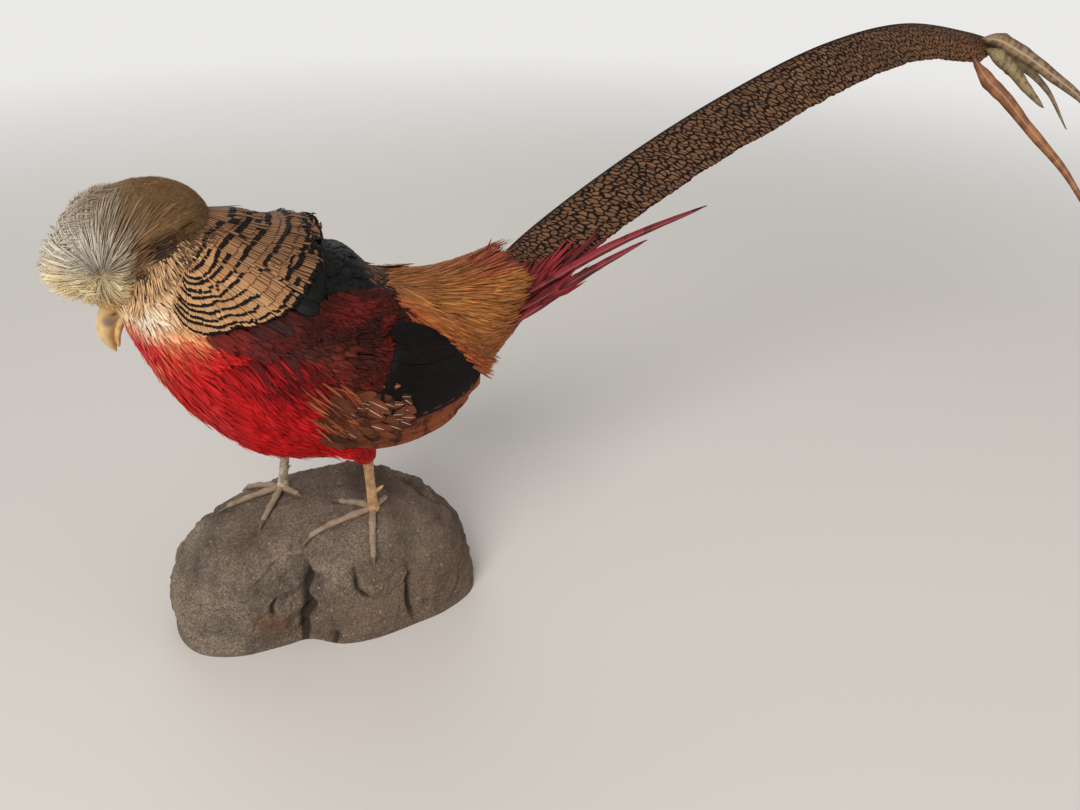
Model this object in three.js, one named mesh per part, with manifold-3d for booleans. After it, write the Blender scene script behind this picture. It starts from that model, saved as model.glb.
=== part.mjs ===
// A cock golden pheasant, stuffed and mounted on a cast rock, at life size.
// Millimetres, +Z up. The bird looks towards -X and its tail runs to +X, so its left side is -Y.
// The origin is the middle of the rock's flat underside.

import * as THREE from 'three';
import { mergeVertices } from 'three/addons/utils/BufferGeometryUtils.js';
import Module from 'manifold-3d';

const wasm = await Module();
wasm.setup();

// Driving dimensions.
const GAP = 0.3; // clearance between neighbouring pieces
const ROCK_HEIGHT = 92; // at the left foot, the highest stretch of the top
const ROCK_FALL = 0.1; // how fast the top sinks towards the head end, mm per mm
const ROCK_CENTRE = new THREE.Vector2(2, 3);
const ROCK_BATTER = 4.4; // a higher number makes the walls steeper and the top flatter
const HOLLOW = new THREE.Vector3(30, 6, 0); // a shallow round hollow in the top, behind the left foot
const HOLLOW_RADIUS = 20;
const HOLLOW_DEPTH = 5;
const FEET_APART = 28; // from the median plane to each foot
const LEFT_FOOT_X = 38;
const RIGHT_FOOT_X = -16;
const TARSUS_RADIUS = 3.6;
const TOE_RADIUS = 2.6;
const EYE_RADIUS = 4.6;
const EYE_PLACE = new THREE.Vector3(-64, 17, 283); // centre of the eye, its y to either side
const CAPE_THICK = 13; // how far the ruff of barred feathers stands off the neck
const SADDLE_THICK = 4; // of the golden rump feathers
const TAIL_SLOPE = THREE.MathUtils.degToRad(52); // each half of the vaulted tail leans down from its ridge
const TAIL_WIDTH = 39; // of one half, where it is broadest
const QUILL = 2.4; // thickness of a tail feather at its shaft
const VANE = 1; // thickness of a tail feather at its edge
const SECTIONS = 20; // rings along the body
const SIDES = 20; // points round each ring

const LEFT = -1;
const RIGHT = 1;
const ACROSS = new THREE.Vector3(0, 1, 0);
const UP = new THREE.Vector3(0, 0, 1);

// ---- Solids ----

/** A manifold from points and triangles, turned to face outwards. */
function solid(points, index) {
  const geometry = new THREE.BufferGeometry().setFromPoints(points);
  geometry.setIndex(index);
  const merged = mergeVertices(geometry, 1e-4);
  const vertProperties = merged.attributes.position.array;
  const triVerts = new Uint32Array(merged.index.array);
  const made = new wasm.Manifold(new wasm.Mesh({ numProp: 3, vertProperties, triVerts }));
  if (made.volume() >= 0) return made;
  return new wasm.Manifold(
    new wasm.Mesh({ numProp: 3, vertProperties, triVerts: triVerts.slice().reverse() }),
  );
}

/** A closed body through a row of equal rings of points; first and last are the tips that close it. */
function tube(rings, first, last) {
  const sides = rings[0].length;
  const points = rings.flat();
  const index = [];
  for (let i = 0; i + 1 < rings.length; i++) {
    for (let j = 0; j < sides; j++) {
      const a = i * sides + j;
      const b = i * sides + ((j + 1) % sides);
      index.push(a, b, b + sides, a, b + sides, a + sides);
    }
  }
  const firstTip = points.push(first) - 1;
  const lastTip = points.push(last) - 1;
  const start = (rings.length - 1) * sides;
  for (let j = 0; j < sides; j++) {
    const next = (j + 1) % sides;
    index.push(firstTip, next, j, lastTip, start + j, start + next);
  }
  return solid(points, index);
}

/** A closed slab between two surfaces, each a function of (i, j) with i from 0 to rows and j to columns. */
function slab(rows, columns, outer, inner) {
  const points = [];
  const at = (i, j, layer) => (i * (columns + 1) + j) * 2 + layer;
  for (let i = 0; i <= rows; i++) {
    for (let j = 0; j <= columns; j++) points.push(outer(i, j), inner(i, j));
  }
  const index = [];
  const face = (a, b, c, d) => index.push(a, b, c, a, c, d);
  for (let i = 0; i < rows; i++) {
    for (let j = 0; j < columns; j++) {
      face(at(i, j, 0), at(i, j + 1, 0), at(i + 1, j + 1, 0), at(i + 1, j, 0));
      face(at(i + 1, j, 1), at(i + 1, j + 1, 1), at(i, j + 1, 1), at(i, j, 1));
    }
    face(at(i, 0, 0), at(i + 1, 0, 0), at(i + 1, 0, 1), at(i, 0, 1));
    face(at(i + 1, columns, 0), at(i, columns, 0), at(i, columns, 1), at(i + 1, columns, 1));
  }
  for (let j = 0; j < columns; j++) {
    face(at(0, j + 1, 0), at(0, j, 0), at(0, j, 1), at(0, j + 1, 1));
    face(at(rows, j, 0), at(rows, j + 1, 0), at(rows, j + 1, 1), at(rows, j, 1));
  }
  return solid(points, index);
}

/** What is left of a shape outside the others; where they part it, the largest piece. */
function carve(shape, ...others) {
  const rest = others.reduce((kept, other) => kept.subtract(other), shape);
  const pieces = rest.decompose();
  return pieces.reduce((best, piece) => (piece.volume() > best.volume() ? piece : best));
}

/** The mirror image of a shape in the median plane. */
const mirrored = (shape) => shape.mirror([0, 1, 0]);

// ---- Smooth shapes ----

const point = (x, y, z) => new THREE.Vector3(x, y, z);
const smooth = THREE.MathUtils.smoothstep;

/** How far a section has swollen at t, where each end of the body rounds off over its share of the length. */
function swell(t, startShare, endShare) {
  const rise = startShare ? Math.max(0, 1 - t / startShare) : 0;
  const fall = endShare ? Math.max(0, 1 - (1 - t) / endShare) : 0;
  return Math.sqrt(Math.max(0, 1 - rise * rise)) * Math.sqrt(Math.max(0, 1 - fall * fall));
}

/**
 * An oval body along a smooth path. Each station is [x, y, z, half width, reach over, reach under];
 * the section stands square to the path, its width along the across direction.
 */
function sweep(stations, { steps = 12, sides = 14, across = ACROSS, round = [0.2, 0.2], grow = 0 } = {}) {
  const path = new THREE.CatmullRomCurve3(stations.map(([x, y, z]) => point(x, y, z)));
  const sizes = new THREE.CatmullRomCurve3(stations.map(([, , , w, o, u]) => point(w, o, u)));
  const rings = [];
  for (let i = 1; i < steps; i++) {
    const t = (1 - Math.cos((Math.PI * i) / steps)) / 2;
    const centre = path.getPoint(t);
    const along = path.getTangent(t);
    const side = across.clone().addScaledVector(along, -across.dot(along)).normalize();
    const over = along.clone().cross(side);
    const size = sizes.getPoint(t).multiplyScalar(swell(t, ...round));
    rings.push(oval(centre, side, over, size, sides, grow));
  }
  const first = path.getPoint(0).addScaledVector(path.getTangent(0), -grow);
  const last = path.getPoint(1).addScaledVector(path.getTangent(1), grow);
  return tube(rings, first, last);
}

/** The points of an oval: size.x to each side, size.y over and size.z under its centre. */
function oval(centre, side, over, size, sides, grow) {
  return Array.from({ length: sides }, (_, j) => {
    const turn = (2 * Math.PI * j) / sides;
    const lift = Math.cos(turn);
    const reach = (lift > 0 ? size.y : size.z) + grow;
    return centre
      .clone()
      .addScaledVector(side, Math.sin(turn) * (size.x + grow))
      .addScaledVector(over, lift * reach);
  });
}

// ---- The cast rock ----

// The rim of the underside, going round from the head end along the left side: steep in front, with
// a notch under the deepest groove, a blunt tail end and an even back.
const rockRim = new THREE.CatmullRomCurve3(
  [
    [-109, 2], [-97, -23], [-72, -37], [-40, -41], [-24, -42], [-2, -57], [20, -62], [50, -61], [76, -58],
    [101, -46], [110, -22], [109, 8], [98, 36], [66, 58], [20, 72], [-30, 78], [-78, 68], [-105, 38],
  ].map(([x, y]) => point(x, y, 0)),
  true,
);

/** The rock's top surface at (x, y), share being how far that is from the centre to the rim. */
function rockTop(x, y, share) {
  const crown = ROCK_HEIGHT - ROCK_FALL * Math.abs(LEFT_FOOT_X + 10 - x);
  const hollow = HOLLOW_DEPTH * Math.exp(-((point(x, y, 0).distanceTo(HOLLOW) / HOLLOW_RADIUS) ** 4));
  return crown * Math.sqrt(Math.max(0, 1 - share ** ROCK_BATTER)) - hollow;
}

/** The rock, as rings that climb from the rim to the middle of the top. */
function rock(grow = 0) {
  const sides = 36;
  const shares = [1, 0.985, 0.95, 0.9, 0.82, 0.7, 0.52, 0.28];
  const rim = rockRim.getSpacedPoints(sides).slice(0, sides);
  const ring = (share, z) =>
    rim.map((edge) => {
      const x = THREE.MathUtils.lerp(ROCK_CENTRE.x, edge.x, share);
      const y = THREE.MathUtils.lerp(ROCK_CENTRE.y, edge.y, share);
      return point(x, y, z ?? rockTop(x, y, share) + grow);
    });
  const rings = shares.map((share, i) => ring(share, i === 0 ? 0 : undefined));
  const { x, y } = ROCK_CENTRE;
  return tube(rings, point(x, y, 0), point(x, y, rockTop(x, y, 0) + grow));
}

const rimPoints = rockRim.getSpacedPoints(240).map((p) => new THREE.Vector2(p.x, p.y).sub(ROCK_CENTRE));

/** The height of the rock's top at (x, y), by the rim point in that direction from the centre. */
function rockHeight(x, y) {
  const from = new THREE.Vector2(x, y).sub(ROCK_CENTRE);
  const towards = (p) => p.dot(from) / p.length();
  const edge = rimPoints.reduce((best, p) => (towards(p) > towards(best) ? p : best));
  return rockTop(x, y, Math.min(from.length() / edge.length(), 1));
}

// ---- The body: one smooth form from the head's base to the root of the tail ----

// Stations of the spine: x, z, half width, reach towards the back, reach towards the belly.
const bodyStations = [
  [-66, 268, 25, 62, 20],
  [-51, 245, 38, 75, 31],
  [-28, 221, 50, 81, 47],
  [4, 203, 57, 80, 61],
  [40, 196, 58, 77, 62],
  [75, 198, 52, 62, 54],
  [108, 211, 41, 38, 43],
  [138, 229, 29, 19, 32],
  [164, 246, 18, 9, 18],
];
const spine = new THREE.CatmullRomCurve3(bodyStations.map(([x, z]) => point(x, 0, z)));
const girth = new THREE.CatmullRomCurve3(bodyStations.map(([, , w, o, u]) => point(w, o, u)));

/** A point on the body at section i, j points round from the back by the left side, standing out a little. */
function bodyPoint(i, j, out = 0) {
  const t = i / SECTIONS;
  const turn = (2 * Math.PI * j) / SIDES;
  const side = ACROSS;
  const over = spine.getTangent(t).cross(side);
  const size = girth.getPoint(t);
  const reach = (Math.cos(turn) > 0 ? size.y : size.z) + out;
  return spine
    .getPoint(t)
    .addScaledVector(side, -Math.sin(turn) * (size.x + out))
    .addScaledVector(over, Math.cos(turn) * reach);
}

/** How far the first ring of a piece that starts at section from moves along, to clear the piece before. */
const clearance = (i, from, gap) => spine.getTangent(i / SECTIONS).multiplyScalar(i === from ? gap : 0);

/** A length of the body between two sections, its ends flat, with a gap before its first ring. */
function bodyLength(from, to, out = () => 0, gap = 0) {
  const middle = (i) => spine.getPoint(i / SECTIONS).add(clearance(i, from, gap));
  const ring = (i) =>
    Array.from({ length: SIDES }, (_, j) => bodyPoint(i, j, out(i, j)).add(clearance(i, from, gap)));
  const rings = Array.from({ length: to - from + 1 }, (_, k) => ring(from + k));
  return tube(rings, middle(from), middle(to));
}

/** A layer of feathers over the body from section to section, and span points to each side of the back. */
function layer({ from, to, span }, thickness) {
  const at = (lift) => (i, j) =>
    bodyPoint(from + i, j - span, lift(from + i, j - span)).add(clearance(from + i, from, GAP));
  const feathers = slab(to - from, 2 * span, at((i, j) => GAP + thickness(i, j)), at(() => -1));
  return carve(feathers, bodyLength(0, SECTIONS, () => GAP));
}

// Where each stretch of the body runs, by section, and how many points each layer covers beside the back.
const NECK_END = 4;
const CAPE = { from: 0, to: 8, span: 5 };
const MANTLE = { from: 8, to: 12, span: 3 };
const SADDLE = { from: 12, to: 19, span: 7 };

// How thick each layer is at section i, j points from the back: thin at its edges.
const capeThickness = (i, j) =>
  1 + CAPE_THICK * smooth(i, CAPE.from - 2, CAPE.from + 2) * (1 - 0.55 * smooth(i, 6, CAPE.to)) *
    (1 - smooth(Math.abs(j), 3, CAPE.span));
const mantleThickness = (i, j) => 1 + 2 * (1 - smooth(Math.abs(j), 1, MANTLE.span));
const saddleThickness = (i, j) =>
  1 + SADDLE_THICK * smooth(i, SADDLE.from, 16) * (1 - 0.5 * smooth(Math.abs(j), 5, SADDLE.span));

const neck = () => bodyLength(0, NECK_END);
const trunk = () => bodyLength(NECK_END, SECTIONS, () => 0, GAP);

// ---- Head ----

/** The head with its short feathers, from the nape down to the face, which hangs steeply. */
function head(grow = 0) {
  return sweep(
    [
      [-90, 0, 263, 9, 9, 7],
      [-77, 0, 275, 17, 19, 14],
      [-62, 0, 286, 21, 24, 19],
      [-45, 0, 294, 20, 22, 18],
      [-30, 0, 296, 15, 16, 14],
    ],
    { steps: 11, sides: 14, round: [0.14, 0.3], grow },
  );
}

/** The tuft of short smooth feathers that domes over the back of the crown. */
function nape(grow = 0) {
  return sweep(
    [
      [-32, 0, 296, 12, 10, 12],
      [-38, 0, 306, 20, 11, 16],
      [-50, 0, 311, 23, 13, 18],
      [-64, 0, 305, 20, 12, 18],
    ],
    { steps: 8, sides: 14, round: [0.3, 0.25], grow },
  );
}

/** The crest: a loose mop that fans forward from the crown past the brow. */
function crest() {
  return sweep(
    [
      [-48, 0, 306, 20, 15, 16],
      [-66, 0, 309, 28, 19, 18],
      [-86, 0, 300, 27, 17, 16],
      [-103, 0, 280, 17, 10, 13],
      [-108, 0, 263, 8, 5, 6],
    ],
    { steps: 10, sides: 14, round: [0.3, 0.16] },
  );
}

// The bill points straight down: its upper half curves over the shorter lower half.
const upperBill = [
  [-83, 0, 264, 6.5, 4, 5],
  [-91, 0, 256, 5.5, 3, 4],
  [-93, 0, 246, 3.6, 2.6, 3],
  [-90, 0, 234, 0.8, 0.8, 0.8],
];
const lowerBill = [
  [-79, 0, 259, 5.5, 3, 3],
  [-84, 0, 252, 4.4, 2.4, 2.4],
  [-87, 0, 244, 2.6, 1.8, 1.8],
  [-87, 0, 238, 0.7, 0.7, 0.7],
];
const bill = (stations, grow = 0) => sweep(stations, { steps: 7, sides: 8, round: [0.1, 0.12], grow });

/** An eyeball, its front just proud of the face. */
function eye(side, grow = 0) {
  const ball = new THREE.IcosahedronGeometry(EYE_RADIUS + grow, 1);
  ball.translate(EYE_PLACE.x, side * EYE_PLACE.y, EYE_PLACE.z);
  const corners = ball.attributes.position;
  const corner = (i) => point(0, 0, 0).fromBufferAttribute(corners, i);
  const points = Array.from({ length: corners.count }, (_, i) => corner(i));
  return solid(points, points.keys().toArray());
}

// ---- Wings ----

/** The folded wing's coverts and inner flight feathers, lying along the flank. */
function wing(grow = 0) {
  return sweep(
    [
      [-24, -50, 218, 8, 14, 14],
      [-2, -56, 213, 11, 27, 26],
      [30, -57, 205, 12, 33, 34],
      [66, -55, 197, 11, 30, 32],
      [98, -49, 190, 8, 20, 18],
      [122, -42, 186, 2.5, 7, 7],
    ],
    { steps: 9, sides: 12, round: [0.16, 0.06], grow },
  );
}

/** The outermost flight feathers, a flat blade along the wing's lower edge. */
function primaries(grow = 0) {
  return sweep(
    [
      [18, -56, 171, 3, 8, 9],
      [48, -57, 164, 4, 11, 10],
      [80, -54, 165, 4, 12, 11],
      [106, -49, 174, 3, 9, 9],
      [124, -44, 184, 1.2, 4, 4],
    ],
    { steps: 8, sides: 8, round: [0.12, 0.1], grow },
  );
}

// ---- Legs and feet ----

const TOE_ROOT = 0.03; // the shares of a toe's length where the toe begins and where its claw begins
const CLAW_SHARE = 0.8;
const TRAIL = 40; // even steps along a toe's route over the rock
const SHORT_STRETCH = 6; // steps between the stations of a toe

/** The feathered shank where the leg leaves the belly. */
function shank({ x, side, lean }, grow = 0) {
  const y = side * FEET_APART;
  return sweep(
    [
      [x + lean - 12, y, 172, 17, 21, 21],
      [x + lean - 5, y, 148, 13, 16, 16],
      [x + lean, y, 127, 6, 7.5, 7.5],
    ],
    { steps: 7, sides: 10, round: [0.3, 0.14], grow },
  );
}

/** The bare scaled leg, leaning back as it rises from the rock into the shank, with a short spur behind. */
function tarsus({ x, side, lean }, grow = 0) {
  const y = side * FEET_APART;
  const ground = rockHeight(x, y) + GAP;
  const thick = (share) => [TARSUS_RADIUS * 0.85 * share, TARSUS_RADIUS * share, TARSUS_RADIUS * share];
  const leg = sweep(
    [
      [x, y, ground, ...thick(1.3)],
      [x + lean * 0.2, y, ground + 10, ...thick(0.95)],
      [x + lean * 0.54, y, ground + 26, ...thick(0.9)],
      [x + lean, y, ground + 48, ...thick(1.1)],
    ],
    { steps: 7, sides: 8, round: [0.05, 0.1], grow },
  );
  const spur = sweep(
    [
      [x + 1, y, ground + 17, 2, 2, 2],
      [x + 5, y, ground + 17, 1.6, 1.6, 1.6],
      [x + 9, y, ground + 19, 0.6, 0.6, 0.6],
    ],
    { steps: 4, sides: 6, round: [0.1, 0.2], grow },
  );
  return leg.add(spur);
}

/** A route of TRAIL even steps that follows the rock from a foot's hub, lifted off its surface. */
function overRock(x, y, heading, length, lift) {
  const dx = -Math.cos(heading);
  const dy = -Math.sin(heading);
  const surface = (r) => point(x + dx * r, y + dy * r, rockHeight(x + dx * r, y + dy * r));
  const trail = [surface(0)];
  let gone = 0;
  for (let r = 0.5; gone < length; r += 0.5) {
    trail.push(surface(r));
    gone += trail.at(-1).distanceTo(trail.at(-2));
  }
  return Array.from({ length: TRAIL + 1 }, (_, k) => {
    const at = Math.round(((trail.length - 1) * k) / TRAIL);
    const ahead = trail[Math.min(at + 1, trail.length - 1)];
    const behind = trail[Math.max(at - 1, 0)];
    const along = ahead.clone().sub(behind).normalize();
    const out = along.clone().cross(UP).cross(along).normalize();
    return trail[at].clone().addScaledVector(out, lift(k / TRAIL));
  });
}

// Toes, by heading from straight ahead towards the bird's left, in degrees, and length. The left foot
// stands back and its outer toe hangs down the front of the rock; the right foot stands forward.
const feet = {
  left: {
    x: LEFT_FOOT_X,
    side: LEFT,
    lean: 1,
    toes: { middle: [2, 58], outer: [70, 42], inner: [-48, 36], hind: [-150, 16] },
  },
  right: {
    x: RIGHT_FOOT_X,
    side: RIGHT,
    lean: 11,
    toes: { middle: [-6, 50], outer: [-46, 42], inner: [58, 44], hind: [122, 22] },
  },
};

/** The stretch of a toe between two shares of its length: the scaled toe or its claw. */
function toe({ x, side }, [heading, length], from, to, radius, grow = 0) {
  const turn = THREE.MathUtils.degToRad(heading);
  const route = overRock(x, side * FEET_APART, turn, length, (share) => GAP + radius(share));
  const first = Math.round(from * TRAIL);
  const last = Math.round(to * TRAIL);
  const count = Math.max(3, Math.round((last - first) / SHORT_STRETCH));
  const stations = Array.from({ length: count }, (_, k) => {
    const at = Math.round(THREE.MathUtils.lerp(first, last, k / (count - 1)));
    const r = radius(at / TRAIL);
    return [...route[at].toArray(), r, r, r];
  });
  const ahead = point(-Math.cos(turn), -Math.sin(turn), 0);
  const across = UP.clone().cross(ahead);
  return sweep(stations, { steps: count + 1, sides: 6, across, round: [0.12, 0.12], grow });
}

/** The radius of a toe, with three swollen joints, and of the tapering claw beyond it. */
const toeRadius = (share) => TOE_RADIUS * (1 - 0.4 * share) * (1 + 0.1 * Math.cos(share * 8 * Math.PI));
const clawRadius = (share) => THREE.MathUtils.mapLinear(share, CLAW_SHARE, 1, TOE_RADIUS * 0.55, 0.5);

// ---- Tail ----

// The ridge of the tail in the median plane, x and z: it rises steeply from the rump, arches over and
// comes down to the tips.
const tailRidge = new THREE.CatmullRomCurve3(
  [
    [134, 236], [166, 262], [244, 306], [321, 340], [403, 367], [475, 376], [545, 366], [592, 354],
  ].map(([x, z]) => point(x, 0, z)),
);

/** The width of one half of the vaulted tail, from its root at 0 to its tip at 1. */
function tailWidth(s) {
  const spread = THREE.MathUtils.lerp(0.8, 1, smooth(s, 0, 0.16));
  const narrow = THREE.MathUtils.lerp(1, 0.66, smooth(s, 0.45, 0.9));
  const tip = THREE.MathUtils.lerp(1, 0.3, smooth(s, 0.88, 1));
  return TAIL_WIDTH * spread * narrow * tip;
}

/** A point under the ridge at s, a share w of the way out to the edge, and depth in from the upper face. */
function tailPoint(s, w, depth, side, width) {
  const along = tailRidge.getTangent(s);
  const up = along.clone().cross(ACROSS);
  const out = THREE.MathUtils.lerp(depth * Math.tan(TAIL_SLOPE), width, w);
  const cos = Math.cos(TAIL_SLOPE);
  const sin = Math.sin(TAIL_SLOPE);
  return tailRidge
    .getPoint(s)
    .addScaledVector(ACROSS, side * (GAP + out * cos - depth * sin))
    .addScaledVector(up, -out * sin - depth * cos);
}

/**
 * A tail feather that lies on one slope of the vault, depth below its face, out to a reach of the
 * tail's length and a share of its width.
 */
function tailFeather(side, { depth, reach, share }, grow = 0) {
  const rows = 15;
  const columns = 2;
  const rounded = (s) => Math.sqrt(1 - 0.7 * smooth(s, 0.85, 1));
  const width = (s) => (tailWidth(s * reach) - depth) * share * rounded(s) + grow;
  const at = (i, j, under) =>
    tailPoint((i / rows) * reach, j / columns, depth + under, side, width(i / rows));
  const thick = (j) => THREE.MathUtils.lerp(QUILL, VANE, j / columns);
  return slab(rows, columns, (i, j) => at(i, j, -grow), (i, j) => at(i, j, thick(j) + grow));
}

// The long central pair, and two shorter pairs beneath it.
const tailLayers = {
  central: { depth: 0.5, reach: 1, share: 1 },
  inner: { depth: 3.4, reach: 0.66, share: 0.96 },
  outer: { depth: 6.2, reach: 0.42, share: 0.92 },
};

/** A slim upright feather along a few points, by half its breadth at the root and half its thickness. */
function strand(points, half, thick = 0.8) {
  const stations = points.map((p, k) => {
    const b = half * (1 - 0.75 * (k / (points.length - 1)) ** 3);
    return [...p, thick, b, b];
  });
  return sweep(stations, { steps: 8, sides: 5, round: [0.1, 0.08] });
}

// The frayed end of the tail: the points of each strand from where it leaves the blade, and its half breadth.
const tips = {
  upper: [[[588, -4, 352], [608, -4, 344], [653, -4, 326], [702, -4, 304], [752, -4, 274]], 5.6],
  middle: [[[580, -8, 343], [600, -8, 332], [621, -8, 319], [652, -8, 302]], 5.5],
  thin: [[[600, 4, 341], [637, 4, 329], [668, 4, 310], [711, 4, 273]], 3],
  hanging: [[[548, -14, 343], [561, -13, 332], [626, -12, 292], [708, -12, 237], [786, -12, 174]], 4.6],
};

// The narrow scarlet coverts that stand out beside the root of the tail: root, bend and tip on the left.
const coverts = [
  [[158, -27, 232], [220, -29, 256], [298, -26, 272]],
  [[152, -29, 222], [200, -30, 240], [250, -27, 255]],
  [[148, -27, 212], [190, -27, 232], [232, -24, 248]],
];

/** The dark soft feathers under the root of the tail. */
function undertail() {
  return sweep(
    [
      [104, 0, 186, 26, 20, 16],
      [140, 0, 203, 24, 18, 14],
      [168, 0, 220, 14, 12, 9],
      [192, 0, 232, 4, 4, 4],
    ],
    { steps: 8, sides: 12, round: [0.2, 0.1] },
  );
}

// ---- Assembly ----

const pheasant = new THREE.Group();

/** Adds a solid to the model as a named mesh with its own finish. */
function add(name, shape, color, roughness) {
  const mesh = shape.getMesh();
  const geometry = new THREE.BufferGeometry();
  geometry.setAttribute('position', new THREE.BufferAttribute(mesh.vertProperties, 3));
  geometry.setIndex(new THREE.BufferAttribute(mesh.triVerts, 1));
  const material = new THREE.MeshStandardMaterial({ color, roughness, metalness: 0, flatShading: true });
  const node = new THREE.Mesh(geometry, material);
  node.name = name;
  pheasant.add(node);
}

/** Adds a solid of the left side and its mirror image. */
function addPair(name, shape, color, roughness) {
  add(`${name}_left`, shape, color, roughness);
  add(`${name}_right`, mirrored(shape), color, roughness);
}

/** The outside of the body with all its layers, and room for the gaps round it. */
const covered = (i, j) => {
  const sideways = j > SIDES / 2 ? j - SIDES : j;
  const within = ({ from, to, span }) => i >= from && i <= to && Math.abs(sideways) <= span;
  const thickness = [
    within(CAPE) ? capeThickness(i, sideways) : 0,
    within(MANTLE) ? mantleThickness(i, sideways) : 0,
    within(SADDLE) ? saddleThickness(i, sideways) : 0,
  ];
  return Math.max(...thickness) + 4 * GAP;
};
const coat = bodyLength(0, SECTIONS, covered);
const rockRoom = rock(GAP);
const bothEyes = eye(LEFT, GAP).add(eye(RIGHT, GAP));
const bills = bill(upperBill, GAP).add(bill(lowerBill, GAP));

add('base_rock', rock(), 0x7d7266, 0.95);
add('trunk', trunk(), 0xc42a26, 0.8);
add('neck', carve(neck(), head(GAP), bills), 0xc9602f, 0.8);
add('head', carve(head(), bothEyes, bills), 0xd9a87a, 0.8);
add('cape', carve(layer(CAPE, capeThickness), head(GAP)), 0xd8a765, 0.75);
add('mantle', layer(MANTLE, mantleThickness), 0x1d2f2a, 0.5);
add('rump', layer(SADDLE, saddleThickness), 0xc98a35, 0.7);
add('nape', carve(nape(), head(GAP), coat), 0xb59a5c, 0.7);
add('crest', carve(crest(), head(GAP), nape(GAP), bills, bothEyes, coat), 0xd8cba4, 0.7);
add('bill_upper', bill(upperBill), 0xd8b87c, 0.4);
add('bill_lower', carve(bill(lowerBill), bill(upperBill, GAP)), 0xc9a66a, 0.4);
add('eye_left', eye(LEFT), 0x2a1c12, 0.1);
add('eye_right', eye(RIGHT), 0x2a1c12, 0.1);

addPair('wing', carve(wing(), coat), 0x6b2a22, 0.7);
addPair('primaries', carve(primaries(), coat, wing(GAP)), 0x6b4a2c, 0.6);

for (const [name, foot] of Object.entries(feet)) {
  add(`shank_${name}`, carve(shank(foot), coat, wing(GAP), mirrored(wing(GAP))), 0xa8502e, 0.85);
  add(`tarsus_${name}`, carve(tarsus(foot), shank(foot, GAP), coat, rockRoom), 0xc9b184, 0.6);
  const placed = [tarsus(foot, GAP), rockRoom];
  for (const [digit, shape] of Object.entries(foot.toes)) {
    const scaled = toe(foot, shape, TOE_ROOT, CLAW_SHARE, toeRadius);
    add(`toe_${name}_${digit}`, carve(scaled, ...placed), 0xc9b184, 0.6);
    placed.push(toe(foot, shape, TOE_ROOT, CLAW_SHARE, toeRadius, GAP));
    const claw = toe(foot, shape, CLAW_SHARE + 0.02, 1, clawRadius);
    add(`claw_${name}_${digit}`, carve(claw, ...placed), 0x6e5a44, 0.5);
  }
}

const centralRoom = [LEFT, RIGHT].map((side) => tailFeather(side, tailLayers.central, GAP));
for (const [name, shape] of Object.entries(tailLayers)) {
  addPair(`tail_${name}`, carve(tailFeather(LEFT, shape), coat), 0x8a6238, 0.7);
}
for (const [name, [points, half]] of Object.entries(tips)) {
  add(`tail_tip_${name}`, carve(strand(points, half), ...centralRoom), 0x9a7444, 0.7);
}
for (const [k, points] of coverts.entries()) {
  addPair(`covert_${k + 1}`, carve(strand(points, 3.4, 1), coat, centralRoom[0]), 0xa03040, 0.7);
}
add('undertail', carve(undertail(), coat), 0x3a2420, 0.8);

export default pheasant;
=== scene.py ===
import bpy
import numpy as np
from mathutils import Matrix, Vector


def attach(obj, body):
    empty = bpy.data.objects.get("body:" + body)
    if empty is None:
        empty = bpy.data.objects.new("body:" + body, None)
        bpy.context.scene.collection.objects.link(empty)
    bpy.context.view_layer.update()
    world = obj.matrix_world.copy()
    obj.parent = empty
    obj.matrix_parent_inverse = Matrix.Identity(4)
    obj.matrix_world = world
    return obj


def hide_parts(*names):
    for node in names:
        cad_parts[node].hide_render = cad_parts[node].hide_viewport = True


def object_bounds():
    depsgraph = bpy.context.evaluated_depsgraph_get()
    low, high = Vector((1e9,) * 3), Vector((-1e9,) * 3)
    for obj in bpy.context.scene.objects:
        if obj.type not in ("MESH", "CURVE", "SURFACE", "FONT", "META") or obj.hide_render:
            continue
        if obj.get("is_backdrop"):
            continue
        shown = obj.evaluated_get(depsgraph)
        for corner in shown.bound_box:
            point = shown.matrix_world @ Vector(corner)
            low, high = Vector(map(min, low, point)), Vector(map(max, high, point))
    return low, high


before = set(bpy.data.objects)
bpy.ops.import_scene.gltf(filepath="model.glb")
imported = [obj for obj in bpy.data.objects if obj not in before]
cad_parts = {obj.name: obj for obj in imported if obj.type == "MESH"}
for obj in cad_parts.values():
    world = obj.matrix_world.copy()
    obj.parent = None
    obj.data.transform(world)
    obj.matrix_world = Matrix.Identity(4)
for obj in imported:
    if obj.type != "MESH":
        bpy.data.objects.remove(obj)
CAD_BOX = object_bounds()

# ---- The stage ----
# A plain pale floor under soft studio light: one broad lamp high on the viewer's left, and an even
# pale sky. The camera looks down on the bird's left side from a little in front of its breast.

MM = 0.001


def linear(red, green, blue):
    """A colour given as display values from 0 to 255, turned into the light values that shaders use."""
    share = np.array([red, green, blue]) / 255
    return tuple(np.where(share <= 0.04045, share / 12.92, ((share + 0.055) / 1.055) ** 2.4)) + (1.0,)


def feed(tree, socket, value):
    """Links a socket to another node's output, or gives it a constant."""
    if isinstance(value, bpy.types.NodeSocket):
        tree.links.new(value, socket)
    else:
        socket.default_value = value


def node(tree, kind, inputs=(), **settings):
    """A shader node with its settings and inputs; an input is a value or another node's output."""
    made = tree.nodes.new("ShaderNode" + kind)
    for key, value in settings.items():
        setattr(made, key, value)
    for key, value in dict(inputs).items():
        feed(tree, made.inputs[key], value)
    return made


def calc(tree, operation, *values):
    """The output of a Math node on up to three values."""
    return node(tree, "Math", dict(enumerate(values)), operation=operation).outputs[0]


def times(tree, first, second):
    """The product of two values."""
    return calc(tree, "MULTIPLY", first, second)


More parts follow.
